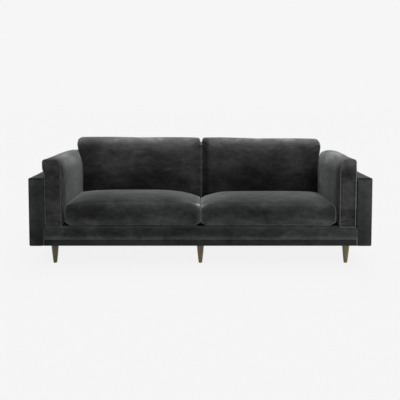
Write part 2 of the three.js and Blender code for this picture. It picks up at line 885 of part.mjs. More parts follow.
const seatInnerX = middleGap / 2 + seatBulge;
const seatOuterX = armCushionSeamX - armCushionCrown - seatSideGap - seatBulge;
const seatFrontY = frontY + seatSetback;
const seatRearY = backSeamFrontY - backFrontReach() - seatRearGap - seatBulge;
const seatDepth = seatRearY - seatFrontY;

function seatCushion() {
  const size = {
    halfA: (seatOuterX - seatInnerX) / 2,
    halfB: seatDepth / 2,
    low: seatFootRise,
    high: seatFootRise + seatBorderHeight,
    lowCrown: seatFootRise,
    highCrown: seatCrown,
    lowPower: restPower,
    corner: seatCorner,
    pull: seatPull,
    bulge: seatBulge,
    stepsA: longSteps,
    stepsB: shortSteps,
    standing: false,
  };
  return cushionGeometry(size, (a, b, c) => [a, b, c]);
}

function buildCushions() {
  const group = new THREE.Group();
  const armY = armCushionFrontY + armCushionLength / 2;
  const seatY = (seatFrontY + seatRearY) / 2;
  const backY = (backSeamFrontY + backSeamRearY) / 2;
  const seatX = (seatInnerX + seatOuterX) / 2;
  const backX = (backInnerX + backOuterX) / 2;
  const armZ = deckZ + armCushionHeight / 2;
  const backZ = deckZ + backHeight / 2;
  for (const { side, sign } of sides) {
    group.add(
      mesh(`arm_cushion_${side}`, armCushion(sign), velvet, sign * armCushionX, armY, armZ),
      mesh(`seat_cushion_${side}`, seatCushion(), velvet, sign * seatX, seatY, deckZ),
      mesh(`back_cushion_${side}`, backCushion(sign), velvet, sign * backX, backY, backZ),
    );
  }
  return group;
}

const sofa = new THREE.Group();
sofa.name = "sofa";
sofa.add(buildBaseFrame(), buildWebbing(), buildBaseUpholstery(), buildLegs());
sofa.add(...sides.map(buildArm), buildBack(), buildCushions());

export default sofa;
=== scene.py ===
"""A three-seat charcoal velvet sofa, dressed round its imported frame: six loose padded cushions with welted
seams, upholstered outer arms, outer back and base, turned legs, deck cloth and dust cover.
Metres. +X is the viewer's right, +Y the back, +Z up."""

import json
import math

import bmesh
import bpy
import numpy as np
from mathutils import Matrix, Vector, noise


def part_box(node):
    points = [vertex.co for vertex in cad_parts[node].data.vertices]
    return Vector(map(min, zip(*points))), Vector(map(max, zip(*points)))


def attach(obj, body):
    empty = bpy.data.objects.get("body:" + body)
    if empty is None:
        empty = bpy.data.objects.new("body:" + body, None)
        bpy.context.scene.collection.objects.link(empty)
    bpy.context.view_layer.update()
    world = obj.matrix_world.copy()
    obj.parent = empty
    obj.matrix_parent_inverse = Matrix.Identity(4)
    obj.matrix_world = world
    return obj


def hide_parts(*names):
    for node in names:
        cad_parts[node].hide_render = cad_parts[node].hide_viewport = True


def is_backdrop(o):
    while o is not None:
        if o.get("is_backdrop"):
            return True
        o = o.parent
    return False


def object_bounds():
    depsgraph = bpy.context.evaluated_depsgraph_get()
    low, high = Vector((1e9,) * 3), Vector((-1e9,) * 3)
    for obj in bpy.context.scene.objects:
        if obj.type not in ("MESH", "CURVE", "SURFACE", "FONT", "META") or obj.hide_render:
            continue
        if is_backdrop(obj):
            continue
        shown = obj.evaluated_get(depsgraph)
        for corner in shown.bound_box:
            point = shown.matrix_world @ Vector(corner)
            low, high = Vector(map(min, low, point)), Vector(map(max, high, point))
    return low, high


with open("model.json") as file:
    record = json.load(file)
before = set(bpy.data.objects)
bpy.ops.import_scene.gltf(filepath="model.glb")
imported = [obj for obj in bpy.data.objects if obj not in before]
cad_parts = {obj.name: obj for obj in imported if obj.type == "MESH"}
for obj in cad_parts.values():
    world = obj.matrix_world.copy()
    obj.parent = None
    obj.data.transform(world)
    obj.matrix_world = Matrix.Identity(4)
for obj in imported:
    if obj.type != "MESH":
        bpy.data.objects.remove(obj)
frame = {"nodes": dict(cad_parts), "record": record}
cad_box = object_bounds()

MM = 0.001
BODY = "sofa_body"
SIDES = (("left", -1), ("right", 1))


def new_object(name, data):
    made = bpy.data.objects.new(name, data)
    bpy.context.scene.collection.objects.link(made)
    return made


# Camera: the photograph's viewpoint

IMAGE_PX = 400
FOCAL_PX = 544
PRINCIPAL_PX = (200.4, 126.7)
SENSOR_MM = 36
EYE = Vector((0, -4.054, 1.153))
PITCH = math.radians(3.36)


def add_camera():
    """The camera stands in front of the sofa, above the back cushions, and looks a little down."""
    data = bpy.data.cameras.new("photo_camera")
    data.sensor_width = SENSOR_MM
    data.lens = FOCAL_PX / IMAGE_PX * SENSOR_MM
    data.shift_x = (IMAGE_PX / 2 - PRINCIPAL_PX[0]) / IMAGE_PX
    data.shift_y = (PRINCIPAL_PX[1] - IMAGE_PX / 2) / IMAGE_PX
    camera = new_object("photo_camera", data)
    camera.location = EYE
    camera.rotation_euler = (math.pi / 2 - PITCH, 0, 0)
    bpy.context.scene.camera = camera


add_camera()


# Materials

def linear(hex_colour):
    """An sRGB colour written as six hex digits, as the linear RGBA that a shader takes."""
    channels = [int(hex_colour[i:i + 2], 16) / 255 for i in (0, 2, 4)]
    straight = [c / 12.92 if c <= 0.04045 else ((c + 0.055) / 1.055) ** 2.4 for c in channels]
    return (*straight, 1)


def add(tree, kind, inputs=None, **settings):
    """Adds a node. inputs holds a value, or another node's output socket, for each of its inputs."""
    node = tree.nodes.new("ShaderNode" + kind)
    for key, value in settings.items():
        setattr(node, key, value)
    for key, value in (inputs or {}).items():
        if isinstance(value, bpy.types.NodeSocket):
            tree.links.new(value, node.inputs[key])
        else:
            node.inputs[key].default_value = value
    return node


def start_material(name, roughness, metallic=0, **surface):
    """A Principled shader with its even values on its own sockets, and the piece's own coordinates."""
    material = bpy.data.materials.new(name)
    material.use_nodes = True
    tree = material.node_tree
    shader = tree.nodes["Principled BSDF"]
    for key, value in {"Roughness": roughness, "Metallic": metallic, **surface}.items():
        shader.inputs[key.replace("_", " ")].default_value = value
    place = add(tree, "TexCoord").outputs["Object"]
    return material, tree, shader, place


def finish_material(tree, shader, shade, stops, relief, strength, depth_mm):
    """Colours the surface by its shade, in stops of (position, hex colour), and raises it by its relief."""
    tone = add(tree, "ValToRGB", {"Fac": shade})
    elements = tone.color_ramp.elements
    while len(elements) < len(stops):
        elements.new(0.5)
    for element, (position, colour) in zip(elements, stops):
        element.position = position
        element.color = linear(colour)
    tree.links.new(tone.outputs[0], shader.inputs["Base Color"])
    bump = add(tree, "Bump", {"Height": relief, "Strength": strength, "Distance": depth_mm * MM})
    tree.links.new(bump.outputs[0], shader.inputs["Normal"])
    return bump


LEVEL = 0.84  # leaves room on the tone ramp above an even shade of 1
DENT_MM = 45
STREAK_MM = 30
TUFT_MM = 9
PILE_MM = 2.5  # the pile's real tips, under 0.5 mm, are too fine to show


def velvet(name, stops, painted_light_gradients=(), painted_light_spots=(), patch_mm=130, sheen=0.55, brushed_share=1.0,
           stretch=(0.6, 0.6, 1.0)):
    """Cotton velvet, woven and cut to a short pile: almost black where the eye looks into the pile,
    pale where it skims over it, with patches where the pile has been brushed one way or the other.
    The gradients are painted light and shade over the whole piece, lighter or darker along an axis:
    (axis, from, to, tone shift there, tone shift here). The spots are painted highlights and painted shade
    in round patches: (point, radius, tone shift)."""
    material, tree, shader, place = start_material(
        name, roughness=0.85, Specular_IOR_Level=0.12, Sheen_Weight=sheen, Sheen_Roughness=0.33,
        Sheen_Tint=linear("dfe1e1"))
    wide = add(tree, "Mapping", {"Vector": place, "Scale": stretch})
    patches = add(tree, "TexNoise", {
        "Vector": wide.outputs[0], "Scale": 1000 / patch_mm, "Detail": 6.0, "Roughness": 0.66,
        "Distortion": 0.4,
    })
    tufts = add(tree, "TexNoise", {
        "Vector": place, "Scale": 1000 / TUFT_MM, "Detail": 2.0, "Roughness": 0.7,
    })
    streaks = add(tree, "TexNoise", {
        "Vector": wide.outputs[0], "Scale": 1000 / STREAK_MM, "Detail": 3.0, "Roughness": 0.55,
        "Distortion": 0.3,
    })
    brushed = add(tree, "Mix", {0: 0.28, 2: patches.outputs["Fac"], 3: streaks.outputs["Fac"]},
                  data_type="FLOAT")
    mixed = add(tree, "Mix", {0: 0.16, 2: brushed.outputs[0], 3: tufts.outputs["Fac"]}, data_type="FLOAT")
    contrast = add(tree, "MapRange", {
        "Value": mixed.outputs[0], "From Min": 0.17, "From Max": 0.83,
        "To Min": 0.5 - 0.5 * brushed_share, "To Max": 0.5 + 0.5 * brushed_share,
    })
    shade = contrast.outputs[0]
    # The painted light and shade go onto the tone here: first the gradients along an axis, then the round
    # spots.
    split = add(tree, "SeparateXYZ", {"Vector": place})
    painted_light_shifts = [(split.outputs[axis], *span) for axis, *span in painted_light_gradients]
    for point, radius, change in painted_light_spots:
        away = add(tree, "VectorMath", {0: place, 1: point}, operation="DISTANCE")
        painted_light_shifts.append((away.outputs["Value"], 0.2 * radius, radius, change, 0.0))
    for value, start, stop, first, last in painted_light_shifts:
        shift = add(tree, "MapRange", {
            "Value": value, "From Min": start, "From Max": stop, "To Min": first, "To Max": last,
        }, interpolation_type="SMOOTHSTEP")
        shade = add(tree, "Math", {0: shade, 1: shift.outputs[0]}, operation="ADD").outputs[0]
    level = add(tree, "Math", {0: shade, 1: LEVEL}, operation="MULTIPLY")
    pile = add(tree, "TexNoise", {"Vector": place, "Scale": 1000 / PILE_MM, "Detail": 2.0, "Roughness": 0.6})
    fine = finish_material(tree, shader, level.outputs[0], stops, pile.outputs["Fac"], 0.35, 0.8)
    dents = add(tree, "TexNoise", {"Vector": wide.outputs[0], "Scale": 1000 / DENT_MM, "Detail": 3.0})
    soft = add(tree, "Bump", {
        "Height": dents.outputs["Fac"], "Strength": 0.7, "Distance": 6 * MM, "Normal": fine.outputs[0],
    })
    tree.links.new(soft.outputs[0], shader.inputs["Normal"])
    return material


def stained_hardwood():
    """Turned beech, stained olive-brown and lacquered satin: fine grain along the leg, a soft highlight."""
    material, tree, shader, place = start_material("beech_olive_stain", roughness=0.42, Coat_Weight=0.15)
    along = add(tree, "Mapping", {"Vector": place, "Scale": (1.0, 1.0, 0.07)})
    grain = add(tree, "TexNoise", {
        "Vector": along.outputs[0], "Scale": 1000 / 4, "Detail": 6.0, "Roughness": 0.65, "Distortion": 0.4,
    })
    # Painted light: the legs are lighter towards the viewer's right, as if lit from that side.
    split = add(tree, "SeparateXYZ", {"Vector": place})
    painted_light_across = add(tree, "MapRange", {
        "Value": split.outputs["X"], "From Min": -1.0, "From Max": 1.0, "To Min": -0.15, "To Max": 0.28,
    })
    shade = add(tree, "Math", {0: grain.outputs["Fac"], 1: painted_light_across.outputs[0]}, operation="ADD")
    finish_material(tree, shader, shade.outputs[0], [(0.3, "463a1f"), (0.52, "64562f"), (0.72, "83723f")],
                    grain.outputs["Fac"], 0.12, 0.3)
    return material


def sawn_pine():
    """Sawn pine, unfinished: pale, with darker growth lines along each rail."""
    material, tree, shader, place = start_material("pine_sawn", roughness=0.8)
    rings = add(tree, "TexWave", {
        "Vector": place, "Scale": 1000 / 90, "Distortion": 7.0, "Detail": 3.0, "Detail Scale": 0.8,
    }, bands_direction="Z")
    saw = add(tree, "TexNoise", {"Vector": place, "Scale": 1000 / 3, "Detail": 3.0})
    finish_material(tree, shader, rings.outputs["Fac"], [(0.1, "b98f5c"), (0.6, "d8b582"), (0.95, "e2c596")],
                    saw.outputs["Fac"], 0.3, 0.4)
    return material


def woven_cloth(name, dark, light, thread_mm):
    """A plain weave of flat threads, one over and one under."""
    material, tree, shader, place = start_material(name, roughness=0.9)
    turned = add(tree, "Mapping", {"Vector": place, "Rotation": (0.0, 0.0, math.pi / 4)})
    weave = add(tree, "TexChecker", {"Vector": turned.outputs[0], "Scale": 1000 / thread_mm / 2})
    dust = add(tree, "TexNoise", {"Vector": place, "Scale": 1000 / 60, "Detail": 4.0})
    mixed = add(tree, "Mix", {0: 0.65, 2: weave.outputs["Fac"], 3: dust.outputs["Fac"]}, data_type="FLOAT")
    finish_material(tree, shader, mixed.outputs[0], [(0.2, dark), (0.8, light)],
                    weave.outputs["Fac"], 0.4, 0.3)
    return material


def plated_steel():
    """Zinc-plated steel, stamped: grey and slightly blotched."""
    material, tree, shader, place = start_material("steel_zinc_plated", roughness=0.4, metallic=1)
    bloom = add(tree, "TexNoise", {"Vector": place, "Scale": 1000 / 12, "Detail": 4.0}).outputs["Fac"]
    finish_material(tree, shader, bloom, [(0.3, "8f9296"), (0.7, "b4b7ba")], bloom, 0.1, 0.1)
    return material


def moulded_nylon():
    """Black nylon, moulded: even and half matt. The mould's grain is drawn at 1 mm, so that it shows."""
    material, tree, shader, place = start_material("nylon_moulded_black", roughness=0.5)
    grain = add(tree, "TexNoise", {"Vector": place, "Scale": 1000 / 1, "Detail": 2.0}).outputs["Fac"]
    finish_material(tree, shader, grain, [(0.3, "161616"), (0.7, "1f1f1f")], grain, 0.2, 0.1)
    return material


# Tones from deep in the pile to its brushed tips.
DEPTHS = (0.0, 0.25, 0.42, 0.59, 0.84, 1.0)
VELVET_STOPS = list(zip(DEPTHS, ("0c0c0c", "1b1b1b", "303030", "454545", "5f5f5f", "868686")))
LOW_STOPS = list(zip(DEPTHS, ("0c0c0c", "1b1b1b", "2f3030", "444545", "5f6060", "969696")))
# The welts' stops are lighter than the cloth's: a painted highlight along the piping.
WELT_HIGHLIGHT_STOPS = list(zip(DEPTHS[1:], ("3c3c3c", "525252", "686868", "848484", "a8a8a8")))
# Painted light and shade on the covers: bands lighter and darker across the width, lighter towards the
# viewer's right, darker low down, and darker on the outer arms' top faces.
COVER_VELVET = velvet(
    "cotton_velvet_charcoal", LOW_STOPS,
    [("X", -1.15, -1.08, 0.07, -0.07), ("X", -1.05, -0.9, 0, 0.1), ("X", 0.3, 1.1, 0, 0.09),
     ("X", 1.09, 1.15, 0, 0.12), ("Z", 0.14, 0.5, -0.11, 0), ("Z", 0.578, 0.596, 0, -0.3)],
    brushed_share=0.6)
# Painted light and shade on the seats: lighter towards the rear and on the crest, lighter at the foot of the
# front, and bands lighter and darker across the width. A painted highlight sits where the seats' front
# corners meet, with painted shade below it, and there are spots lighter and darker.
SEAT_VELVET = velvet(
    "cotton_velvet_seat", LOW_STOPS,
    [("X", -0.25, -0.06, 0, 0.08), ("X", -0.04, -0.008, 0, 0.2), ("X", 0.004, 0.03, 0.06, -0.14),
     ("X", 0.06, 0.25, 0, -0.14), ("X", 0.4, 0.9, 0, 0.13), ("Y", -0.43, 0, -0.12, 0.17),
     ("Y", -0.05, 0.12, 0, 0.2), ("Y", 0.06, 0.15, 0, 0.14), ("Y", -0.44, -0.42, -0.05, 0),
     ("Z", 0.27, 0.355, 0.3, 0.02), ("Z", 0.34, 0.4, 0, -0.04)],
    [((0, -0.37, 0.43), 0.07, 0.85), ((0, -0.44, 0.27), 0.12, -0.2), ((0.5, -0.1, 0.44), 0.5, 0.04),
     ((-0.8, -0.3, 0.43), 0.3, -0.16)])
# Painted light and shade on the backs: darker towards the bottom, lighter on the rolled top, a strip of
# painted shade beside the middle seam, darker at the left back's outer end, and spots lighter and darker.
BACK_VELVET = velvet(
    "cotton_velvet_back", VELVET_STOPS,
    [("X", -0.3, -0.05, 0, 0.02), ("X", 0.012, 0.03, 0, -0.25), ("X", 0.045, 0.08, 0, 0.2),
     ("X", -0.92, -0.78, -0.08, 0), ("Z", 0.44, 0.65, -0.1, 0.12), ("Z", 0.68, 0.76, 0, 0.12),
     ("Z", 0.74, 0.806, 0, 0.33)],
    [((0, 0.22, 0.80), 0.11, -0.3), ((0, 0.16, 0.46), 0.12, 0.14), ((0.9, 0.15, 0.7), 0.2, -0.04),
     ((0.45, 0.13, 0.46), 0.2, -0.12), ((0.93, 0.08, 0.5), 0.11, 0.15), ((-0.85, 0.2, 0.8), 0.13, -0.3)])
# Painted light and shade on the arm cushions: darker towards the front and lighter towards the rear, lighter
# up the inner face to its top, lighter on the right arm, the front gussets lifted back up, and spots lighter
# and darker on the tops.
ARM_VELVET = velvet(
    "cotton_velvet_arm", VELVET_STOPS,
    [("X", 0.3, 1.1, 0, 0.2), ("Y", -0.45, 0.15, -0.52, 0.3), ("Y", -0.442, -0.436, 0.46, 0),
     ("Z", 0.27, 0.4, 0.06, 0), ("Z", 0.6, 0.7, 0, 0.56)],
    [((-1.0, -0.45, 0.7), 0.11, -0.27), ((1.0, -0.45, 0.7), 0.11, -0.3), ((-0.95, -0.43, 0.66), 0.1, -0.12),
     ((0.95, -0.43, 0.66), 0.1, -0.16), ((-0.97, -0.24, 0.7), 0.2, 0.28), ((-0.95, 0.1, 0.7), 0.18, -0.4),
     ((0.95, 0.1, 0.7), 0.16, -0.34), ((0.93, 0.12, 0.57), 0.14, 0.2), ((1.04, 0.1, 0.73), 0.26, -0.28)],
    sheen=0.45, stretch=(0.6, 0.25, 1.0))
# Painted light on the base's band: lighter towards its foot, lighter towards the viewer's right, and a little
# lighter at the far left.
BAND_VELVET = velvet(
    "cotton_velvet_band", LOW_STOPS,
    [("X", -1.0, -0.4, 0.05, 0), ("X", 0.1, 1.0, 0, 0.2), ("Z", 0.18, 0.22, 0.18, -0.1)])
# The welts' velvet: a painted highlight, lighter still towards the viewer's right.
WELT_VELVET = velvet("cotton_velvet_welt", WELT_HIGHLIGHT_STOPS,
                     [("X", -0.2, 1.0, 0, 0.3), ("X", 1.0, 1.04, 0, 0.2)], patch_mm=40)
LEG_WOOD = stained_hardwood()
FRAME_WOOD = sawn_pine()
DECK_CLOTH = woven_cloth("cotton_deck_cloth_black", "17181a", "2a2b2d", thread_mm=3)
CAMBRIC = woven_cloth("cambric_black", "141415", "232324", thread_mm=2)
WEBBING = woven_cloth("elastic_webbing_natural", "8d7f66", "c4b698", thread_mm=4)
STEEL = plated_steel()
GLIDE_NYLON = moulded_nylon()


# Floor, backdrop and light

PALE = 0.9216  # the background's grey, sRGB 246
FLOOR_ALBEDO = 0.69
FLOOR_SHOWN_PALE = 0.94  # the rest of what the eye sees there is lit, and carries the sofa's shadow
FLOOR_REACH = 60


def show_pale(tree, lit, glow, shown_share, surface):
    """What the eye and mirrors see is mostly the even pale grey, and the rest is the lit surface."""
    path = add(tree, "LightPath")
    seen = add(tree, "Math", {0: path.outputs["Is Camera Ray"], 1: path.outputs["Is Glossy Ray"]},
               operation="ADD")
    seen_too = add(tree, "Math", {0: seen.outputs[0], 1: path.outputs["Is Transmission Ray"]},
                   operation="ADD", use_clamp=True)
    share = add(tree, "Math", {0: seen_too.outputs[0], 1: shown_share}, operation="MULTIPLY")
    pale = add(tree, glow, {"Color": (PALE, PALE, PALE, 1), "Strength": 1.0})
    mix = add(tree, "MixShader", {0: share.outputs[0], 1: lit.outputs[0], 2: pale.outputs[0]})
    tree.links.new(mix.outputs[0], surface)


def add_world(ambient):
    world = bpy.data.worlds.new("studio")
    world.use_nodes = True
    bpy.context.scene.world = world
    tree = world.node_tree
    light = tree.nodes["Background"]
    light.inputs["Color"].default_value = (0.97, 0.99, 1.0, 1)
    light.inputs["Strength"].default_value = ambient
    show_pale(tree, light, "Background", 1.0, tree.nodes["World Output"].inputs["Surface"])


def add_floor():
    mesh = bpy.data.meshes.new("floor")
    corners = [(x * FLOOR_REACH, y * FLOOR_REACH, 0) for x, y in ((-1, -1), (1, -1), (1, 1), (-1, 1))]
    mesh.from_pydata(corners, [], [(0, 1, 2, 3)])
    floor = new_object("floor", mesh)
    material = bpy.data.materials.new("pale_studio_floor")
    material.use_nodes = True
    tree = material.node_tree
    tree.nodes.remove(tree.nodes["Principled BSDF"])
    lit = add(tree, "BsdfDiffuse", {"Color": (FLOOR_ALBEDO, FLOOR_ALBEDO, FLOOR_ALBEDO, 1)})
    show_pale(tree, lit, "Emission", FLOOR_SHOWN_PALE, tree.nodes["Material Output"].inputs["Surface"])
    mesh.materials.append(material)
    floor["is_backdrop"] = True


def add_sun(name, strength, softness, azimuth, elevation, colour):
    """azimuth is where the light comes from: 0 from the front, 90 from the viewer's right."""
    data = bpy.data.lights.new(name, "SUN")
    data.energy = strength
    data.angle = math.radians(softness)
    data.color = colour
    sun = new_object(name, data)
    a, e = math.radians(azimuth), math.radians(elevation)
    towards = Vector((math.sin(a) * math.cos(e), -math.cos(a) * math.cos(e), math.sin(e)))
    sun.rotation_mode = "QUATERNION"
    sun.rotation_quaternion = towards.to_track_quat("Z", "Y")


add_world(ambient=0.3)
add_floor()
add_sun("key", strength=1.1, softness=45, azimuth=52, elevation=45, colour=(1.0, 0.995, 0.98))
add_sun("overhead", strength=2.3, softness=45, azimuth=170, elevation=70, colour=(0.99, 1.0, 1.0))


# Making pieces

def make_object(name, points, faces, material):
    mesh = bpy.data.meshes.new(name)
    mesh.from_pydata([tuple(map(float, p)) for p in points], [], [tuple(map(int, f)) for f in faces])
    mesh.materials.append(material)
    made = new_object(name, mesh)
    face_outwards(made)
    return made


def put_on(piece, node, body=BODY):
    """Makes a piece stand in for a CAD node, which it hides, and move with its body."""
    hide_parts(node)
    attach(piece, body)


def ring_faces(rings, n, closed=False):
    """Four-sided faces between each ring of n points and the next."""
    for r in range(rings if closed else rings - 1):
        s = (r + 1) % rings
        for i in range(n):
            j = (i + 1) % n
            yield r * n + i, r * n + j, s * n + j, s * n + i


def face_outwards(piece):
    made = bmesh.new()
    made.from_mesh(piece.data)
    bmesh.ops.recalc_face_normals(made, faces=made.faces)
    made.to_mesh(piece.data)
    made.free()
    piece.data.polygons.foreach_set("use_smooth", [True] * len(piece.data.polygons))


def read_mesh(piece):
    """The piece's points, and the surface's direction at each."""
    both = []
    for what in ("co", "normal"):
        values = np.empty(len(piece.data.vertices) * 3)
        piece.data.vertices.foreach_get(what, values)
        both.append(values.reshape(-1, 3))
    return both


def write_points(piece, points):
    piece.data.vertices.foreach_set("co", np.ascontiguousarray(points, np.float32).ravel())
    piece.data.update()


SEAM_CREASE = 0.75


def subdivide(piece, form):
    """One subdivision that keeps the seams crisp."""
    seam_of = {int(i): end for end in (0, 1) for i in form.seam(end)}
    coarse = piece.data
    sharp = coarse.attributes.new("crease_edge", "FLOAT", "EDGE")
    for edge in coarse.edges:
        a, b = edge.vertices
        if a in seam_of and seam_of[a] == seam_of.get(b):
            sharp.data[edge.index].value = SEAM_CREASE
    piece.modifiers.new("finer", "SUBSURF").levels = 1
    shown = piece.evaluated_get(bpy.context.evaluated_depsgraph_get())
    fine = bpy.data.meshes.new_from_object(shown)
    piece.modifiers.clear()
    piece.data = fine
    bpy.data.meshes.remove(coarse)
    left_over = fine.attributes.get("crease_edge")
    if left_over:
        fine.attributes.remove(left_over)
    face_outwards(piece)


def smooth_step(x, low, high):
    t = np.clip((x - low) / (high - low), 0, 1)
    return t * t * (3 - 2 * t)


# Wrapped forms: a band of cloth round a rounded outline, closed by a gusset at each end.
# e runs along the form from gusset to gusset, and p and q lie across it.

ARC_STEPS = 8


def rounded_side(start, end, radii):
    """Half a corner's arc, a straight run, and half of the next corner's arc, as a dense line."""
    along = (end - start) / np.linalg.norm(end - start)
    outward = np.array((along[1], -along[0]))
    points = []
    for radius, corner, sweep in ((radii[0], start, (-45, 0)), (radii[1], end, (0, 45))):
        inwards = along if sweep[1] == 0 else -along
        centre = corner + radius * (inwards - outward)
        for degrees in np.linspace(*sweep, ARC_STEPS + 1):
            a = math.radians(degrees)
            points.append(centre + radius * (math.cos(a) * outward + math.sin(a) * along))
    return np.array(points)


def resample(line, count):
    """count points along line, without its last. Each half arc gets two steps or more, however small."""
    steps = np.linalg.norm(np.diff(line, axis=0), axis=1)
    least = 2 * steps.sum() / count / ARC_STEPS
    steps[:ARC_STEPS] = np.maximum(steps[:ARC_STEPS], least)
    steps[-ARC_STEPS:] = np.maximum(steps[-ARC_STEPS:], least)
    reached = np.concatenate(((0,), np.cumsum(steps)))
    wanted = np.linspace(0, reached[-1], count + 1)[:-1]
    return np.column_stack([np.interp(wanted, reached, line[:, k]) for k in (0, 1)])


def outline(half_p, half_q, radii, count_p, count_q):
    """A rounded rectangle. radii: low p low q, high p low q, high p high q, low p high q."""
    corners = np.array(((-half_p, -half_q), (half_p, -half_q), (half_p, half_q), (-half_p, half_q)))
    sides = []
    for k in range(4):
        m = (k + 1) % 4
        line = rounded_side(corners[k], corners[m], (radii[k], radii[m]))
        sides.append(resample(line, (count_p, count_q)[k % 2]))
    return sides


def fill_gusset(sides):
    """The points inside a loop of four sides, on lines that follow the sides."""
    low, right, high, left = sides
    count_p, count_q = len(low), len(right)
    bottom = np.vstack((low, right[:1]))
    top = np.vstack((high, left[:1]))[::-1]
    start = np.vstack((left, low[:1]))[::-1]
    end = np.vstack((right, high[:1]))
    s = (np.arange(1, count_p) / count_p)[None, :, None]
    t = (np.arange(1, count_q) / count_q)[:, None, None]
    ruled = ((1 - t) * bottom[None, 1:-1] + t * top[None, 1:-1]
             + (1 - s) * start[1:-1, None] + s * end[1:-1, None])
    flat = ((1 - s) * (1 - t) * bottom[0] + s * (1 - t) * bottom[-1]
            + (1 - s) * t * top[0] + s * t * top[-1])
    return (ruled - flat).reshape(-1, 2)


SECTION_CROWDING = 0.16  # sections lie closer together towards the gussets


class Wrapped:
    """The points and faces of a wrapped form, with its two seam rings. radii are as in outline."""

    def __init__(self, half_e, half_p, half_q, radii, spacing):
        self.half = half_e, half_p, half_q
        self.count_p = round(2 * half_p / spacing)
        self.count_q = round(2 * half_q / spacing)
        self.around = 2 * (self.count_p + self.count_q)
        self.sections = round(2 * half_e / spacing)
        self.band = (self.sections + 1) * self.around
        sides = outline(half_p, half_q, radii, self.count_p, self.count_q)
        ring, inner = np.vstack(sides), fill_gusset(sides)
        evens = [-1 + 2 * i / self.sections for i in range(self.sections + 1)]
        layers = [(even + SECTION_CROWDING * math.sin(math.pi * even), ring) for even in evens]
        layers += [(-1, inner), (1, inner)]
        self.points = np.vstack([np.column_stack((np.full(len(layer), share * half_e), layer))
                                 for share, layer in layers])

    def seam(self, end):
        start = self.sections * self.around if end else 0
        return np.arange(start, start + self.around)

    def gusset_grid(self, end):
        """The indices of a gusset's points, seam and all, in rows."""
        ring = self.seam(end)
        p, q = self.count_p, self.count_q
        inner_start = self.band + (p - 1) * (q - 1) * end
        grid = np.empty((q + 1, p + 1), int)
        grid[0] = ring[:p + 1]
        grid[:, p] = ring[p:p + q + 1]
        grid[q] = ring[p + q:2 * p + q + 1][::-1]
        grid[:, 0] = np.append(ring[2 * p + q:], ring[0])[::-1]
        grid[1:q, 1:p] = inner_start + np.arange((p - 1) * (q - 1)).reshape(q - 1, p - 1)
        return grid

    def held(self):
        """The points that don't swell: both seams, and what the cushion rests on."""
        resting = np.where(self.points[:, 2] < -self.half[2] + 1 * MM)[0]
        return np.unique(np.concatenate((self.seam(0), self.seam(1), resting)))

    def faces(self):
        yield from ring_faces(self.sections + 1, self.around)
        for end in (0, 1):
            grid = self.gusset_grid(end)
            for j in range(self.count_q):
                for i in range(self.count_p):
                    yield grid[j, i], grid[j, i + 1], grid[j + 1, i + 1], grid[j + 1, i]

    def shares(self):
        """Each point's place as shares of the half sizes, from -1 to 1."""
        return (self.points / np.array(self.half)).T

    def seam_distance(self):
        """How far each band point is from the nearer seam, and each gusset point from its edge."""
        e, p, q = np.abs(self.points.T)
        on_band = self.half[0] - e
        on_gusset = np.minimum(self.half[1] - p, self.half[2] - q)
        inside = np.arange(len(self.points)) >= self.band
        return np.where(inside, on_gusset, on_band)


def uneven(points, size, depth, seed):
    """Soft unevenness, the same on every run."""
    shift = Vector((seed * 7.31, seed * 3.17, seed * 5.73))
    values = [noise.fractal(Vector(p) / size + shift, 1.0, 2.0, 3) for p in points]
    return np.array(values) * depth


def puckers(form, depth, spacing, seed):
    """Small gathers that run out from the seams and fade within a few centimetres."""
    e, p, q = form.points.T
    around = np.where(np.abs(p) * form.half[2] > np.abs(q) * form.half[1], q, p)
    drift = np.array([noise.noise(Vector((a / 0.09, b / 0.2, seed * 4.1)))
                      for a, b in zip(around, e + p + q)])
    wave = np.sin(2 * math.pi * around / spacing + 5 * drift)
    return depth * wave * (0.6 + drift) * np.exp(-form.seam_distance() / 0.022)


# Cloth

PRESSURE_FRAMES = 20
FILLING_SUPPORT = 0.75  # the share of the cloth's sinking that the filling holds back
VELVET_COVER = {
    "quality": 5, "mass": 0.3, "tension_stiffness": 20, "compression_stiffness": 20, "shear_stiffness": 8,
    "bending_stiffness": 1, "use_pressure": True,
}


def puff(piece, pinned, pressure, cap):
    """Fills a cover: the cloth swells under pressure, held at its seams. Its motion eases off at cap."""
    rest, outward = read_mesh(piece)
    piece.vertex_groups.new(name="held").add(pinned.tolist(), 1.0, "REPLACE")
    modifier = piece.modifiers.new("cover", "CLOTH")
    cloth = modifier.settings
    for key, value in VELVET_COVER.items():
        setattr(cloth, key, value)
    cloth.uniform_pressure_force = pressure
    cloth.vertex_group_mass = "held"
    cloth.effector_weights.gravity = 0
    modifier.collision_settings.use_collision = False
    modifier.point_cache.frame_start = 1
    modifier.point_cache.frame_end = PRESSURE_FRAMES
    scene = bpy.context.scene
    for number in range(1, PRESSURE_FRAMES + 1):
        scene.frame_set(number)
    shown = piece.evaluated_get(bpy.context.evaluated_depsgraph_get())
    moved = np.array([v.co[:] for v in shown.data.vertices])
    piece.modifiers.clear()
    piece.vertex_groups.clear()
    scene.frame_set(1)
    motion = moved - rest
    inward = np.minimum((motion * outward).sum(axis=1, keepdims=True), 0)
    motion -= FILLING_SUPPORT * inward * outward
    length = np.linalg.norm(motion, axis=1, keepdims=True)
    motion *= cap * np.tanh(length / cap) / np.maximum(length, 1e-9)
    return rest + motion


# Welts: a cord covered in the same velvet, sewn into a seam. Their own velvet is drawn lighter, a painted
# highlight along the piping.

WELT_RADIUS = 2 * MM
WELT_SIDES = 8


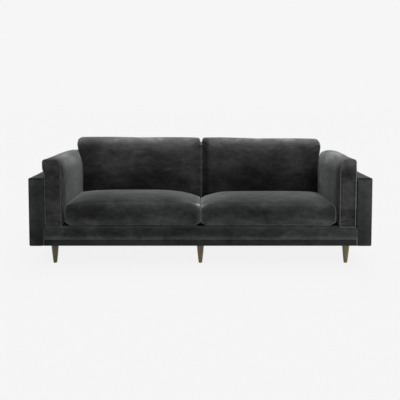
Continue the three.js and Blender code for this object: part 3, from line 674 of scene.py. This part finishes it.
def add_welt(name, path, outward, parent, closed=True, radius=WELT_RADIUS, material=WELT_VELVET):
    """A round welt along path, standing out of its seam by a little more than half. It is part of parent."""
    outward = outward / np.maximum(np.linalg.norm(outward, axis=1, keepdims=True), 1e-9)
    path = path + outward * radius * 0.3
    ahead = np.roll(path, -1, axis=0) - np.roll(path, 1, axis=0)
    if not closed:
        ahead[0] = path[1] - path[0]
        ahead[-1] = path[-1] - path[-2]
    ahead /= np.linalg.norm(ahead, axis=1, keepdims=True)
    side = np.cross(ahead, outward)
    side /= np.maximum(np.linalg.norm(side, axis=1, keepdims=True), 1e-9)
    up = np.cross(side, ahead)
    rings = []
    for k in range(WELT_SIDES):
        a = 2 * math.pi * k / WELT_SIDES
        rings.append(path + radius * (math.cos(a) * up + math.sin(a) * side))
    points = np.stack(rings, axis=1).reshape(-1, 3)
    faces = list(ring_faces(len(path), WELT_SIDES, closed))
    if not closed:
        faces += [range(WELT_SIDES)[::-1], range(len(points) - WELT_SIDES, len(points))]
    made = make_object(name, points, faces, material)
    made.parent = parent


# Creases: a soft valley along a short line on a face that looks forward, deepest at its start.

def crease(points, normals, start, end, depth, width):
    """Presses points in along the line from start to end, each given as (x, z)."""
    place = points[:, (0, 2)]
    start = np.array(start)
    line = np.array(end) - start
    along = np.clip((place - start) @ line / (line @ line), 0, 1)
    off = np.linalg.norm(place - start - along[:, None] * line, axis=1)
    valley = np.exp(-(off / width) ** 2) - 0.5 * np.exp(-((off - 1.9 * width) / width) ** 2)
    facing = np.clip(-normals[:, 1], 0, 1)
    return points - normals * (depth * valley * facing * (1 - along) ** 0.7)[:, None]


# Cushions

def finish_cushion(node, form, points, material, room, sign, seed, pressure, cap, creases=(),
                   middle=0):
    """Fills the cover, gathers it at its seams, adds creases and welts, and puts it on its body."""
    piece = make_object(f"{node}_cover", points, list(form.faces()), material)
    pinned = form.held()
    points = puff(piece, pinned, pressure, cap)
    write_points(piece, points)
    normals = read_mesh(piece)[1]
    free = 1 - 0.7 * smooth_step(form.shares()[2], 0.6, 0.95)
    free[pinned] = 0.25
    relief = puckers(form, depth=1.1 * MM, spacing=0.05, seed=seed)
    relief += uneven(points, size=0.17, depth=2 * MM, seed=seed) * free
    write_points(piece, np.clip(points + normals * relief[:, None], *room))
    subdivide(piece, form)
    for line in creases:
        write_points(piece, crease(*read_mesh(piece), *line))
    points, normals = read_mesh(piece)
    put_on(piece, node, body=node)
    for end in (0, 1):
        ring = form.seam(end)
        path = points[ring]
        # The two seats' welts, and the two backs', keep to their own side of the plane between them.
        path[:, 0] = middle + sign * np.maximum(sign * (path[:, 0] - middle), 1.3 * WELT_RADIUS)
        add_welt(f"{node}_welt_{end + 1}", path, normals[ring], piece)
    return piece


def let_out(low, high, below, above):
    """A node's box, let out by below and above: the room that a filled cover has."""
    return np.array(low) - below, np.array(high) + above


def both_ways(sign, inner, outer):
    """What a piece may have to its left and to its right, given for its inner and outer sides."""
    return (outer, inner) if sign < 0 else (inner, outer)


def on_gusset(u):
    """The side that a gusset's points face, -1 or 1, and 0 for the band."""
    return np.sign(u) * (np.abs(u) > 0.999)


def round_end(distance, radius):
    """How far a corner of this radius is drawn in, at a distance from the end."""
    t = np.clip(1 - distance / radius, 0, 1)
    return radius * (1 - np.sqrt(1 - t ** 2))


def pillow(share, power, edge):
    """A filled face's height across one direction: steep by the seam and nearly flat in the middle."""
    return (1 - np.clip(np.abs(share), 0, 1) ** power) ** edge


# Seat cushions: one band of velvet over the top, front and underside, and a gusset at each side.

SEAT_SPACING = 11 * MM
SEAT_RADII = (14 * MM, 20 * MM, 44 * MM, 44 * MM)  # front foot, rear foot, rear top, front top
SEAT_GUSSET_SWELL = 2.5 * MM
SEAT_INNER_INSET = 0.8 * MM
SEAT_FRONT_SWELL = 7 * MM
SEAT_SIDE_PULL = 4 * MM  # how far the front is drawn in at its ends
SEAT_CROWN = 43 * MM
SEAT_CROWN_SHARE = {"left": 0.86, "right": 0.82}
SEAT_CROWN_SHAPE = {"left": (3, 0.6), "right": (5, 0.45)}
SEAT_CORNER = 42 * MM
SEAT_CORNER_RISE = 27 * MM
SEAT_DIP = 45 * MM  # how far the inner end has sunk at the rear, where the two seats meet
SEAT_DIP_WIDTH = {"left": 85 * MM, "right": 70 * MM}
SEAT_SINK = {"left": -4 * MM, "right": 6 * MM}  # one seat is a little flatter than the other


def add_seat(side, sign):
    node = f"seat_cushion_{side}"
    low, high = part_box(node)
    half_x = (high.x - low.x - SEAT_GUSSET_SWELL - SEAT_INNER_INSET) / 2
    half_y = (high.y - low.y) / 2 - SEAT_FRONT_SWELL
    seam_top = high.z - SEAT_CROWN - 1 * MM
    half_z = (seam_top - low.z) / 2
    aside = sign * (SEAT_INNER_INSET - SEAT_GUSSET_SWELL) / 2
    centre = Vector(((low.x + high.x) / 2 + aside, (low.y + high.y) / 2, (low.z + seam_top) / 2))
    form = Wrapped(half_x, half_y, half_z, SEAT_RADII, SEAT_SPACING)

    e, p, q = form.points.T
    u, v, w = form.shares()
    lift = np.clip((w + 1) / 2, 0, 1)
    crown = SEAT_CROWN * SEAT_CROWN_SHARE[side] * pillow(u, *SEAT_CROWN_SHAPE[side])
    crown = crown * pillow(v, 2.4, 1.15) * lift ** 3
    drawn = SEAT_SIDE_PULL * (1 - u ** 2) * np.sign(v) * np.abs(v) ** 4
    foot = SEAT_CORNER_RISE * np.clip(1 - (half_x - np.abs(e)) / SEAT_CORNER, 0, 1) ** 1.3
    foot = foot * smooth_step(-w, 0.1, 0.85) * smooth_step(-v, 0.6, 0.93)
    dip = SEAT_DIP * (v + 1) / 2 * np.exp(-(half_x + sign * e) / SEAT_DIP_WIDTH[side]) * lift
    gusset = SEAT_GUSSET_SWELL * 0.5 * on_gusset(u) * pillow(v, 2, 1) * pillow(w, 2, 1)
    points = np.column_stack((
        centre.x + e + gusset,
        centre.y + p - drawn,
        centre.z + q + crown + foot - dip - SEAT_SINK[side] * lift,
    ))

    left, right = both_ways(sign, inner=2 * MM, outer=0.8 * MM)
    room = let_out(low, high, below=(left, 4 * MM, 0), above=(right, 2 * MM, 8 * MM))
    piece = finish_cushion(node, form, points, SEAT_VELVET, room, sign, seed=1 + sign, pressure=3.5,
                           cap=7 * MM)
    edge = np.arange(form.sections + 1) * form.around + form.around - 1
    points, normals = read_mesh(piece)
    add_welt(f"{node}_welt_front", points[edge], normals[edge], piece, closed=False)


# Back cushions lean back on the outer back, and swell out over the arm cushions' rounded tops.

BACK_SPACING = 12 * MM
BACK_LEAN = math.tan(math.radians(5.5))
BACK_THICKNESS = 140 * MM
BACK_FRONT_SWELL = 20.16 * MM
BACK_REAR_SWELL = 6 * MM
BACK_REAR_SEAM = 317.6 * MM
BACK_RADII = (22 * MM, 22 * MM, 40 * MM, 58 * MM)  # in the same order
BACK_GUSSET_SWELL = 3 * MM
BACK_FLARE = 42 * MM
BACK_FLARE_SHOWN = {"left": 46 * MM, "right": 21 * MM}
BACK_FLARE_HEIGHTS = (0.3145, 0.5045)  # above the deck
BACK_TILT = {"left": -2.5 * MM, "right": 6 * MM}  # how far the outer end of the top has sunk
BACK_CORNER = {"left": 11 * MM, "right": 16 * MM}
BACK_INNER_CORNER = 20 * MM
BACK_INNER_DEPTH = 1.8
BACK_MIDDLE = 6 * MM  # the plane where the two backs meet is a little right of the seats'
BACK_SEAM_INSET = 3 * MM  # the inner seam from that plane
BACK_TOP_CROWN = {"left": 3 * MM, "right": 1 * MM}
BACK_TOP_RISE = {"left": 4 * MM, "right": -2.5 * MM}
BACK_CREASE_TOP = 12 * MM  # below the cushion's highest point
# Creases run out from the top corners. Start and end are (from the middle, from the top), in metres, and
# depth and width follow in millimetres.
BACK_CREASES = {
    "left": [(0.012, -0.018, 0.085, -0.075, 4, 9), (0.008, -0.055, 0.07, -0.15, 3.5, 9),
             (0.045, -0.002, 0.15, -0.04, 3, 9), (0.935, -0.03, 0.86, -0.11, 2, 10)],
    "right": [(0.012, -0.02, 0.09, -0.06, 4, 9), (0.008, -0.06, 0.055, -0.16, 3.5, 9),
              (0.05, -0.004, 0.13, -0.03, 3, 9), (0.925, -0.055, 0.84, -0.1, 4.5, 10),
              (0.93, -0.12, 0.86, -0.17, 3, 10)],
}


def add_back(side, sign):
    node = f"back_cushion_{side}"
    low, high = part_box(node)
    outer_seam = max(abs(low.x), abs(high.x)) - BACK_FLARE - BACK_GUSSET_SWELL
    inner_seam = BACK_SEAM_INSET + sign * BACK_MIDDLE
    half_x = (outer_seam - inner_seam) / 2
    centre_x = sign * (outer_seam + inner_seam) / 2
    half_y = BACK_THICKNESS / 2
    half_z = (high.z - low.z) / 2 - 1 * MM
    centre_y = BACK_REAR_SEAM - half_y
    form = Wrapped(half_x, half_y, half_z, BACK_RADII, BACK_SPACING)

    e, p, q = form.points.T
    u, v, w = form.shares()
    height = q + half_z
    outer = sign * u > 0
    flare = sign * BACK_FLARE_SHOWN[side] * smooth_step(height, *BACK_FLARE_HEIGHTS) * (1 + sign * u) / 2
    swell = BACK_FRONT_SWELL * pillow(u, 3.2, 0.7) * pillow(w, 3.0, 0.75) * np.clip(-v, 0, 1)
    rear = BACK_REAR_SWELL * pillow(u, 3, 1) * pillow(w, 3, 1) * np.clip(v, 0, 1)
    radius = np.where(outer, BACK_CORNER[side], BACK_INNER_CORNER)
    corner = round_end(half_x - np.abs(e), radius) * np.where(outer, 1, BACK_INNER_DEPTH)
    corner = corner * smooth_step(w, 0.8, 0.97)
    upper = smooth_step(w, 0, 1)
    tilt = (BACK_TILT[side] * sign * u - BACK_TOP_CROWN[side] * (1 - u ** 2)) * upper
    # The inner gussets fill up to the plane where the backs meet, and the outer ones stay softer.
    full = 1.3 * BACK_SEAM_INSET * pillow(v, 2, 0.5) * pillow(w, 8, 0.5)
    soft = BACK_GUSSET_SWELL * 0.6 * pillow(v, 2, 1) * pillow(w, 2, 1)
    points = np.column_stack((
        centre_x + e + flare + np.where(outer, soft, full) * on_gusset(u),
        centre_y + p - swell + rear + height * BACK_LEAN,
        low.z + height - corner - tilt + BACK_TOP_RISE[side] * upper,
    ))

    left, right = both_ways(sign, inner=2 * MM - sign * BACK_MIDDLE, outer=5 * MM)
    room = let_out(low, high, below=(left, 2 * MM, 0), above=(right, 1 * MM, 9 * MM))
    top = high.z - BACK_CREASE_TOP
    creases = [((sign * x, top + z), (sign * end_x, top + end_z), depth * MM, width * MM)
               for x, z, end_x, end_z, depth, width in BACK_CREASES[side]]
    finish_cushion(node, form, points, BACK_VELVET, room, sign, seed=4 + sign, pressure=3.5,
                   cap=10 * MM, creases=creases, middle=BACK_MIDDLE)


# Arm cushions stand on the deck inside the outer arms. Their band runs up the inside, over the top
# and down the outside, and their gussets face the front and the back.

ARM_SPACING = 10 * MM
ARM_CROWN = 13 * MM
ARM_BULGE = 5 * MM
ARM_DROOP = {"left": 12 * MM, "right": 28 * MM}
ARM_DROOP_POWER = {"left": 3, "right": 5}
ARM_HUMP = {"left": 4 * MM, "right": 12 * MM}
ARM_FLARE = {"left": 14 * MM, "right": 0}  # at the front, over the top of the outer arm
ARM_FOOT_RADIUS = 8 * MM
ARM_INNER_TOP_RADIUS = 26 * MM
ARM_OUTER_TOP_RADIUS = 19 * MM
ARM_CREASE_WIDTH = 6 * MM
# Creases across the front gusset. Start and end are (from the outer seam, above the foot), in metres, and
# depth follows in millimetres.
ARM_CREASES = [
    (0.004, 0.385, 0.07, 0.372, 2.2),
    (0.1, 0.345, 0.03, 0.33, 1.8),
    (0.004, 0.3, 0.08, 0.31, 1.6),
    (0.1, 0.035, 0.015, 0.05, 2.4),
    (0.004, 0.07, 0.06, 0.06, 1.6),
]


def add_arm_cushion(side, sign):
    node = f"arm_cushion_{side}"
    low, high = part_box(node)
    half_e = (high.y - low.y) / 2 - ARM_BULGE
    half_p = (high.x - low.x) / 2 - ARM_CROWN
    half_q = (high.z - low.z) / 2
    centre = (low + high) / 2
    left, right = both_ways(sign, inner=ARM_INNER_TOP_RADIUS, outer=ARM_OUTER_TOP_RADIUS)
    form = Wrapped(half_e, half_p, half_q, (ARM_FOOT_RADIUS, ARM_FOOT_RADIUS, right, left), ARM_SPACING)

    e, p, q = form.points.T
    u, v, w = form.shares()
    rearward = (u + 1) / 2
    # The inside thins out towards the top, and more so at the rear.
    thinned = 1 - (0.3 + 0.35 * rearward) * np.clip(w, 0, 1) ** (10 - 6 * rearward)
    thinned = np.where(p * sign < 0, thinned, 1)
    swell = ARM_CROWN * np.where(p * sign > 0, 1.1 * pillow(u, 12, 0.5) * pillow(w, 5, 0.5),
                                 0.85 * pillow(u, 3.0, 0.5) * pillow(w, 3.2, 0.7))
    droop = ARM_DROOP[side] * rearward ** ARM_DROOP_POWER[side]
    droop = droop - ARM_HUMP[side] * pillow((u - 0.3) / 0.8, 2, 1)
    droop = droop * (1 - 0.3 * (sign > 0) * np.clip(p / half_p, 0, 1))
    gusset = ARM_BULGE * 0.6 * on_gusset(u) * pillow(v, 2, 1) * pillow(w, 3, 1)
    flare = ARM_FLARE[side] * smooth_step(w, 0.5, 0.78) * (1 - rearward) ** 2
    flare = flare * np.clip(p * sign / half_p, 0, 1)
    points = np.column_stack((
        centre.x + (p + swell * np.sign(v) * np.abs(v)) * thinned + sign * flare,
        centre.y + e + gusset,
        centre.z + q - droop * (w + 1) / 2,
    ))

    room = let_out(low, high, below=(1 * MM, 3 * MM, 0), above=(1 * MM, 1 * MM, 5 * MM))
    seam = centre.x + sign * half_p
    creases = [((seam - sign * x, low.z + z), (seam - sign * end_x, low.z + end_z), depth * MM,
                ARM_CREASE_WIDTH) for x, z, end_x, end_z, depth in ARM_CREASES]
    finish_cushion(node, form, points, ARM_VELVET, room, sign, seed=7 + sign, pressure=3.0,
                   cap=5 * MM, creases=creases)


# Outer arms: padded covers pulled tight over their frames.

PANEL_SPACING = 12 * MM
PANEL_RADII = (4 * MM, 4 * MM, 7 * MM, 7 * MM)
PANEL_SWELL = 2.5 * MM
PANEL_WELT_FOOT = 6 * MM
PANEL_WELT_RADIUS = 1.4 * MM


def add_arm_panel(side, sign):
    """An upholstered outer arm. Its band runs over the outside, top and inside, and its ends are panels."""
    node = f"arm_cover_{side}"
    low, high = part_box(node)
    centre = (low + high) / 2
    half_e, half_p, half_q = (high.y - low.y) / 2, (high.x - low.x) / 2, (high.z - low.z) / 2
    form = Wrapped(half_e, half_p, half_q, PANEL_RADII, PANEL_SPACING)
    u, v, w = form.shares()
    e, p, q = form.points.T
    outer_side = np.clip(v * sign, 0, 1) ** 8
    swell = PANEL_SWELL * pillow(u, 4, 1) * pillow(w, 4, 1) * outer_side * sign
    crown = PANEL_SWELL * 0.6 * pillow(u, 6, 1) * pillow(v, 2, 1) * (w > 0.999)
    front = PANEL_SWELL * 0.8 * on_gusset(u) * pillow(v, 2, 1) * pillow(w, 6, 1)
    points = np.column_stack((centre.x + p + swell, centre.y + e + front, centre.z + q + crown))
    piece = make_object(f"{node}_velvet", points, list(form.faces()), COVER_VELVET)
    relief = uneven(points, size=0.2, depth=1 * MM, seed=11 + sign)
    relief *= np.minimum(1, form.seam_distance() / 0.03)
    write_points(piece, points + read_mesh(piece)[1] * relief[:, None])
    subdivide(piece, form)
    points, normals = read_mesh(piece)
    put_on(piece, node)
    for end in (0, 1):
        ring = form.seam(end)
        at_foot = points[ring, 2] <= low.z + PANEL_WELT_FOOT
        ring = np.roll(ring, -int(np.argmax(at_foot)))
        ring = ring[points[ring, 2] > low.z + PANEL_WELT_FOOT]
        add_welt(f"{node}_welt_{end + 1}", points[ring], normals[ring], piece, closed=False,
                 radius=PANEL_WELT_RADIUS, material=COVER_VELVET)


# Outer back and base: covers of one section, swept from side to side.

def sweep(name, section, ends, spacing, material, shape):
    """A closed section (y, z) swept along x between ends, shaped, and closed by a flat panel at each end."""
    steps = round((ends[1] - ends[0]) / spacing)
    n = len(section)
    rings = []
    for i in range(steps + 1):
        x = ends[0] + (ends[1] - ends[0]) * i / steps
        rings.append(shape(np.column_stack((np.full(n, x), section)), i / steps))
    faces = list(ring_faces(steps + 1, n))
    faces += [range(n), range(steps * n, steps * n + n)[::-1]]
    return make_object(name, np.vstack(rings), faces, material)


def arc_points(y, z, radius, start, stop, count):
    """Points on an arc round (y, z), its ends in quarter turns."""
    angles = np.linspace(start, stop, count) * math.pi / 2
    return [(y + radius * math.cos(a), z + radius * math.sin(a)) for a in angles]


def divided(points, step):
    """The section with its long runs divided, so that it can swell."""
    made = []
    for a, b in zip(points, points[1:] + points[:1]):
        a, b = np.array(a), np.array(b)
        parts = max(1, round(np.linalg.norm(b - a) / step))
        made += [a + (b - a) * k / parts for k in range(parts)]
    return np.array(made)


BAND_TOP_RADIUS = 12 * MM
BAND_FOOT_RADIUS = 8 * MM
BAND_SWELL = 2.5 * MM
BAND_END_RADIUS = 11 * MM
BAND_OVERHANG = 7 * MM
LIP_DEPTH = 60 * MM
LIP_THICKNESS = 9 * MM
LOWER_BAND_HEIGHT = 45 * MM
LOWER_BAND_LAP = 20 * MM  # it runs up behind the band's foot
COVER_THICKNESS = 3 * MM
HEM_DEPTH = 40 * MM
HEM_THICKNESS = 2.7 * MM
HEM_RADIUS = 4 * MM
BAND_WELT_POINTS = 260
END_WELT_POINTS = 24
END_WELT_TURN = 20 * MM


def add_base():
    """The base's front: a padded band over the rail, a plain lower band, and the hem under the frame."""
    low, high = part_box("base_cover")
    band_foot = low.z + LOWER_BAND_HEIGHT
    lip = low.y + LIP_DEPTH
    inner = low.y + BAND_OVERHANG + COVER_THICKNESS
    section = divided(
        [(lip, high.z)]
        + arc_points(low.y + BAND_TOP_RADIUS, high.z - BAND_TOP_RADIUS, BAND_TOP_RADIUS, 1, 2, 6)
        + arc_points(low.y + BAND_FOOT_RADIUS, band_foot + BAND_FOOT_RADIUS, BAND_FOOT_RADIUS, 2, 3, 5)
        + [(inner, band_foot), (inner, high.z - LIP_THICKNESS), (lip, high.z - LIP_THICKNESS)],
        8 * MM,
    )

    def shape_band(ring, share):
        """The band swells a little, and its front corners are drawn in at each end."""
        x, y, z = ring.T
        w = (z - (band_foot + high.z) / 2) / ((high.z - band_foot) / 2)
        front = np.clip((lip - y) / LIP_DEPTH, 0, 1) ** 6
        to_end = min(share, 1 - share) * (high.x - low.x)
        drawn = max(0, 1 - to_end / BAND_END_RADIUS)
        round_off = BAND_END_RADIUS * (1 - math.sqrt(1 - drawn ** 2))
        swell = BAND_SWELL * (1 - np.abs(w) ** 3) * (1 - drawn)
        ripple = uneven(ring, size=0.14, depth=1.2 * MM, seed=21) * (1 - drawn)
        top = np.clip((z - band_foot) / (high.z - band_foot), 0, 1) ** 4
        return np.column_stack((
            x, y - front * (swell + ripple) + front * round_off, z - round_off * top * front * 0.9,
        ))

    band = sweep("base_band", section, (low.x, high.x), 5.5 * MM, BAND_VELVET, shape_band)
    put_on(band, "base_cover")

    front = low.y + BAND_OVERHANG
    section = divided(
        [(inner, band_foot + LOWER_BAND_LAP), (front, band_foot + LOWER_BAND_LAP)]
        + arc_points(front + HEM_RADIUS, low.z + HEM_RADIUS, HEM_RADIUS, 2, 3, 5)
        + [(front + HEM_DEPTH, low.z), (front + HEM_DEPTH, low.z + HEM_THICKNESS),
           (inner, low.z + HEM_THICKNESS)],
        9 * MM,
    )

    def shape_lower(ring, share):
        x, y, z = ring.T
        face = (y < front + 2 * MM) & (z > low.z + HEM_RADIUS)
        return np.column_stack((x, y - uneven(ring, size=0.1, depth=0.8 * MM, seed=23) * face, z))

    lower = sweep("base_lower_band", section, (low.x, high.x), 11 * MM, COVER_VELVET, shape_lower)
    put_on(lower, "base_cover")

    count = BAND_WELT_POINTS
    x = np.linspace(low.x + 2 * MM, high.x - 2 * MM, count)
    path = np.column_stack((x, np.full(count, low.y + 5.5 * MM), np.full(count, band_foot + 0.5 * MM)))
    outward = np.tile((0.0, -0.8, -0.6), (count, 1))
    add_welt("base_band_welt", path, outward, band, closed=False, material=BAND_VELVET)

    turn = np.radians(np.linspace(0, 70, 8))[1:]
    for side, sign in SIDES:
        straight = np.linspace(low.z + 3 * MM, high.z - END_WELT_TURN, END_WELT_POINTS)
        end = sign * (high.x - 3.5 * MM)
        x = np.append(np.full(END_WELT_POINTS, end), end - sign * END_WELT_TURN * (1 - np.cos(turn)))
        z = np.append(straight, straight[-1] + END_WELT_TURN * 0.7 * np.sin(turn))
        path = np.column_stack((x, np.full(len(x), low.y + 5 * MM), z))
        outward = np.tile((0.0, -1.0, 0.0), (len(x), 1))
        add_welt(f"base_end_welt_{side}", path, outward, band, closed=False, radius=1.8 * MM)


def add_outer_back():
    """The outer back: velvet over the inside, top and outside, and down over the rear rail to its hem."""
    low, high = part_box("back_cover")
    radius = 9 * MM
    shell = 14 * MM
    inner, outer, inner_top = low.y + shell, high.y - shell, high.z - shell
    inner_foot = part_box("back_frame")[0].z + 2 * MM
    hem = high.y - HEM_DEPTH
    hem_top = low.z + HEM_THICKNESS
    section = divided(
        [(low.y, inner_foot), (inner, inner_foot), (inner, inner_top), (outer, inner_top), (outer, hem_top),
         (hem, hem_top), (hem, low.z)]
        + arc_points(high.y - HEM_RADIUS, low.z + HEM_RADIUS, HEM_RADIUS, 3, 4, 4)
        + arc_points(high.y - radius, high.z - radius, radius, 0, 1, 6)
        + arc_points(low.y + radius, high.z - radius, radius, 1, 2, 6),
        14 * MM,
    )

    def shape_back(ring, share):
        x, y, z = ring.T
        u = 2 * share - 1
        w = (z - (low.z + high.z) / 2) / ((high.z - low.z) / 2)
        outside = y > high.y - 2 * MM
        on_top = z > high.z - 2 * MM
        swell = 3 * MM * (1 - u ** 6) * pillow(w, 4, 1)
        swell += uneven(ring, size=0.22, depth=1 * MM, seed=31)
        return np.column_stack((x, y + outside * swell, z + on_top * 0.8 * MM * (1 - u ** 8)))

    put_on(sweep("outer_back_velvet", section, (low.x, high.x), 12 * MM, COVER_VELVET, shape_back),
           "back_cover")


# Legs

LEG_FOOT_RADIUS = 12.5 * MM
LEG_FOOT_BEND = 3 * MM
LEG_BELLY = 0.7 * MM
GLIDE_HEIGHT = 1 * MM
GLIDE_RADIUS = 8 * MM


def add_legs():
    """Turned tapered legs, with a softly broken top edge and a nylon glide under each foot."""
    for name in sorted(frame["nodes"]):
        if not name.startswith("leg_") or name.startswith("leg_plate"):
            continue
        low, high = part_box(name)
        centre = (low + high) / 2
        top = (high.x - low.x) / 2
        foot, bend, glide = LEG_FOOT_RADIUS, LEG_FOOT_BEND, GLIDE_HEIGHT
        profile = [(0.0, glide), (foot - bend, glide)]
        profile += [(foot - bend + bend * math.sin(a), glide + bend - bend * math.cos(a))
                    for a in np.linspace(0.3, math.pi / 2, 5)]
        for share in np.linspace(0.08, 0.97, 12):
            radius = foot + (top - foot) * share + LEG_BELLY * math.sin(math.pi * share)
            profile.append((radius, glide + bend + (high.z - glide - bend - 2 * MM) * share))
        profile += [(top, high.z - 1.5 * MM), (top - 0.5 * MM, high.z - 0.6 * MM),
                    (top - 2 * MM, high.z), (0.0, high.z)]
        leg = lathe(f"{name}_turned", profile, 48, centre, LEG_WOOD)
        put_on(leg, name)
        pad = [(0.0, 0.0), (GLIDE_RADIUS - 0.4 * MM, 0.0), (GLIDE_RADIUS, 0.4 * MM),
               (GLIDE_RADIUS, glide + 1 * MM), (0.0, glide + 1 * MM)]
        glide_pad = lathe(f"{name}_glide", pad, 32, centre, GLIDE_NYLON)
        glide_pad.parent = leg


def lathe(name, profile, steps, centre, material):
    """Turns (radius, height) points round an upright axis. The first and last lie on it."""
    angles = np.linspace(0, 2 * math.pi, steps, endpoint=False)
    points = []
    for radius, height in profile[1:-1]:
        points += [(centre.x + radius * math.cos(a), centre.y + radius * math.sin(a), height) for a in angles]
    rings = len(profile) - 2
    faces = list(ring_faces(rings, steps))
    for start, pole, end in ((0, len(points), 0), ((rings - 1) * steps, len(points) + 1, -1)):
        points.append((centre.x, centre.y, profile[end][1]))
        faces += [(start + i, start + (i + 1) % steps, pole) for i in range(steps)]
    return make_object(name, points, faces, material)


def dress_nodes():
    """The CAD's own solids that stay: frames, webbing, cloths, plates and bolts."""
    finishes = {"velvet": COVER_VELVET, "lining": CAMBRIC, "timber": FRAME_WOOD, "webbing": WEBBING,
                "leg_wood": LEG_WOOD, "steel": STEEL}
    for row in frame["record"]["subparts"]:
        mesh = frame["nodes"][row["node"]].data
        mesh.materials.clear()
        mesh.materials.append(DECK_CLOTH if row["node"] == "deck_pad" else finishes[row["material_slot"]])


for side, sign in SIDES:
    add_seat(side, sign)
    add_back(side, sign)
    add_arm_cushion(side, sign)
    add_arm_panel(side, sign)
add_base()
add_outer_back()
add_legs()
dress_nodes()
bpy.context.scene.view_settings.view_transform = "Standard"

boxes = {name: [list(corner) for corner in box] for name, box in
         (("cad", cad_box), ("visual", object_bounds()))}
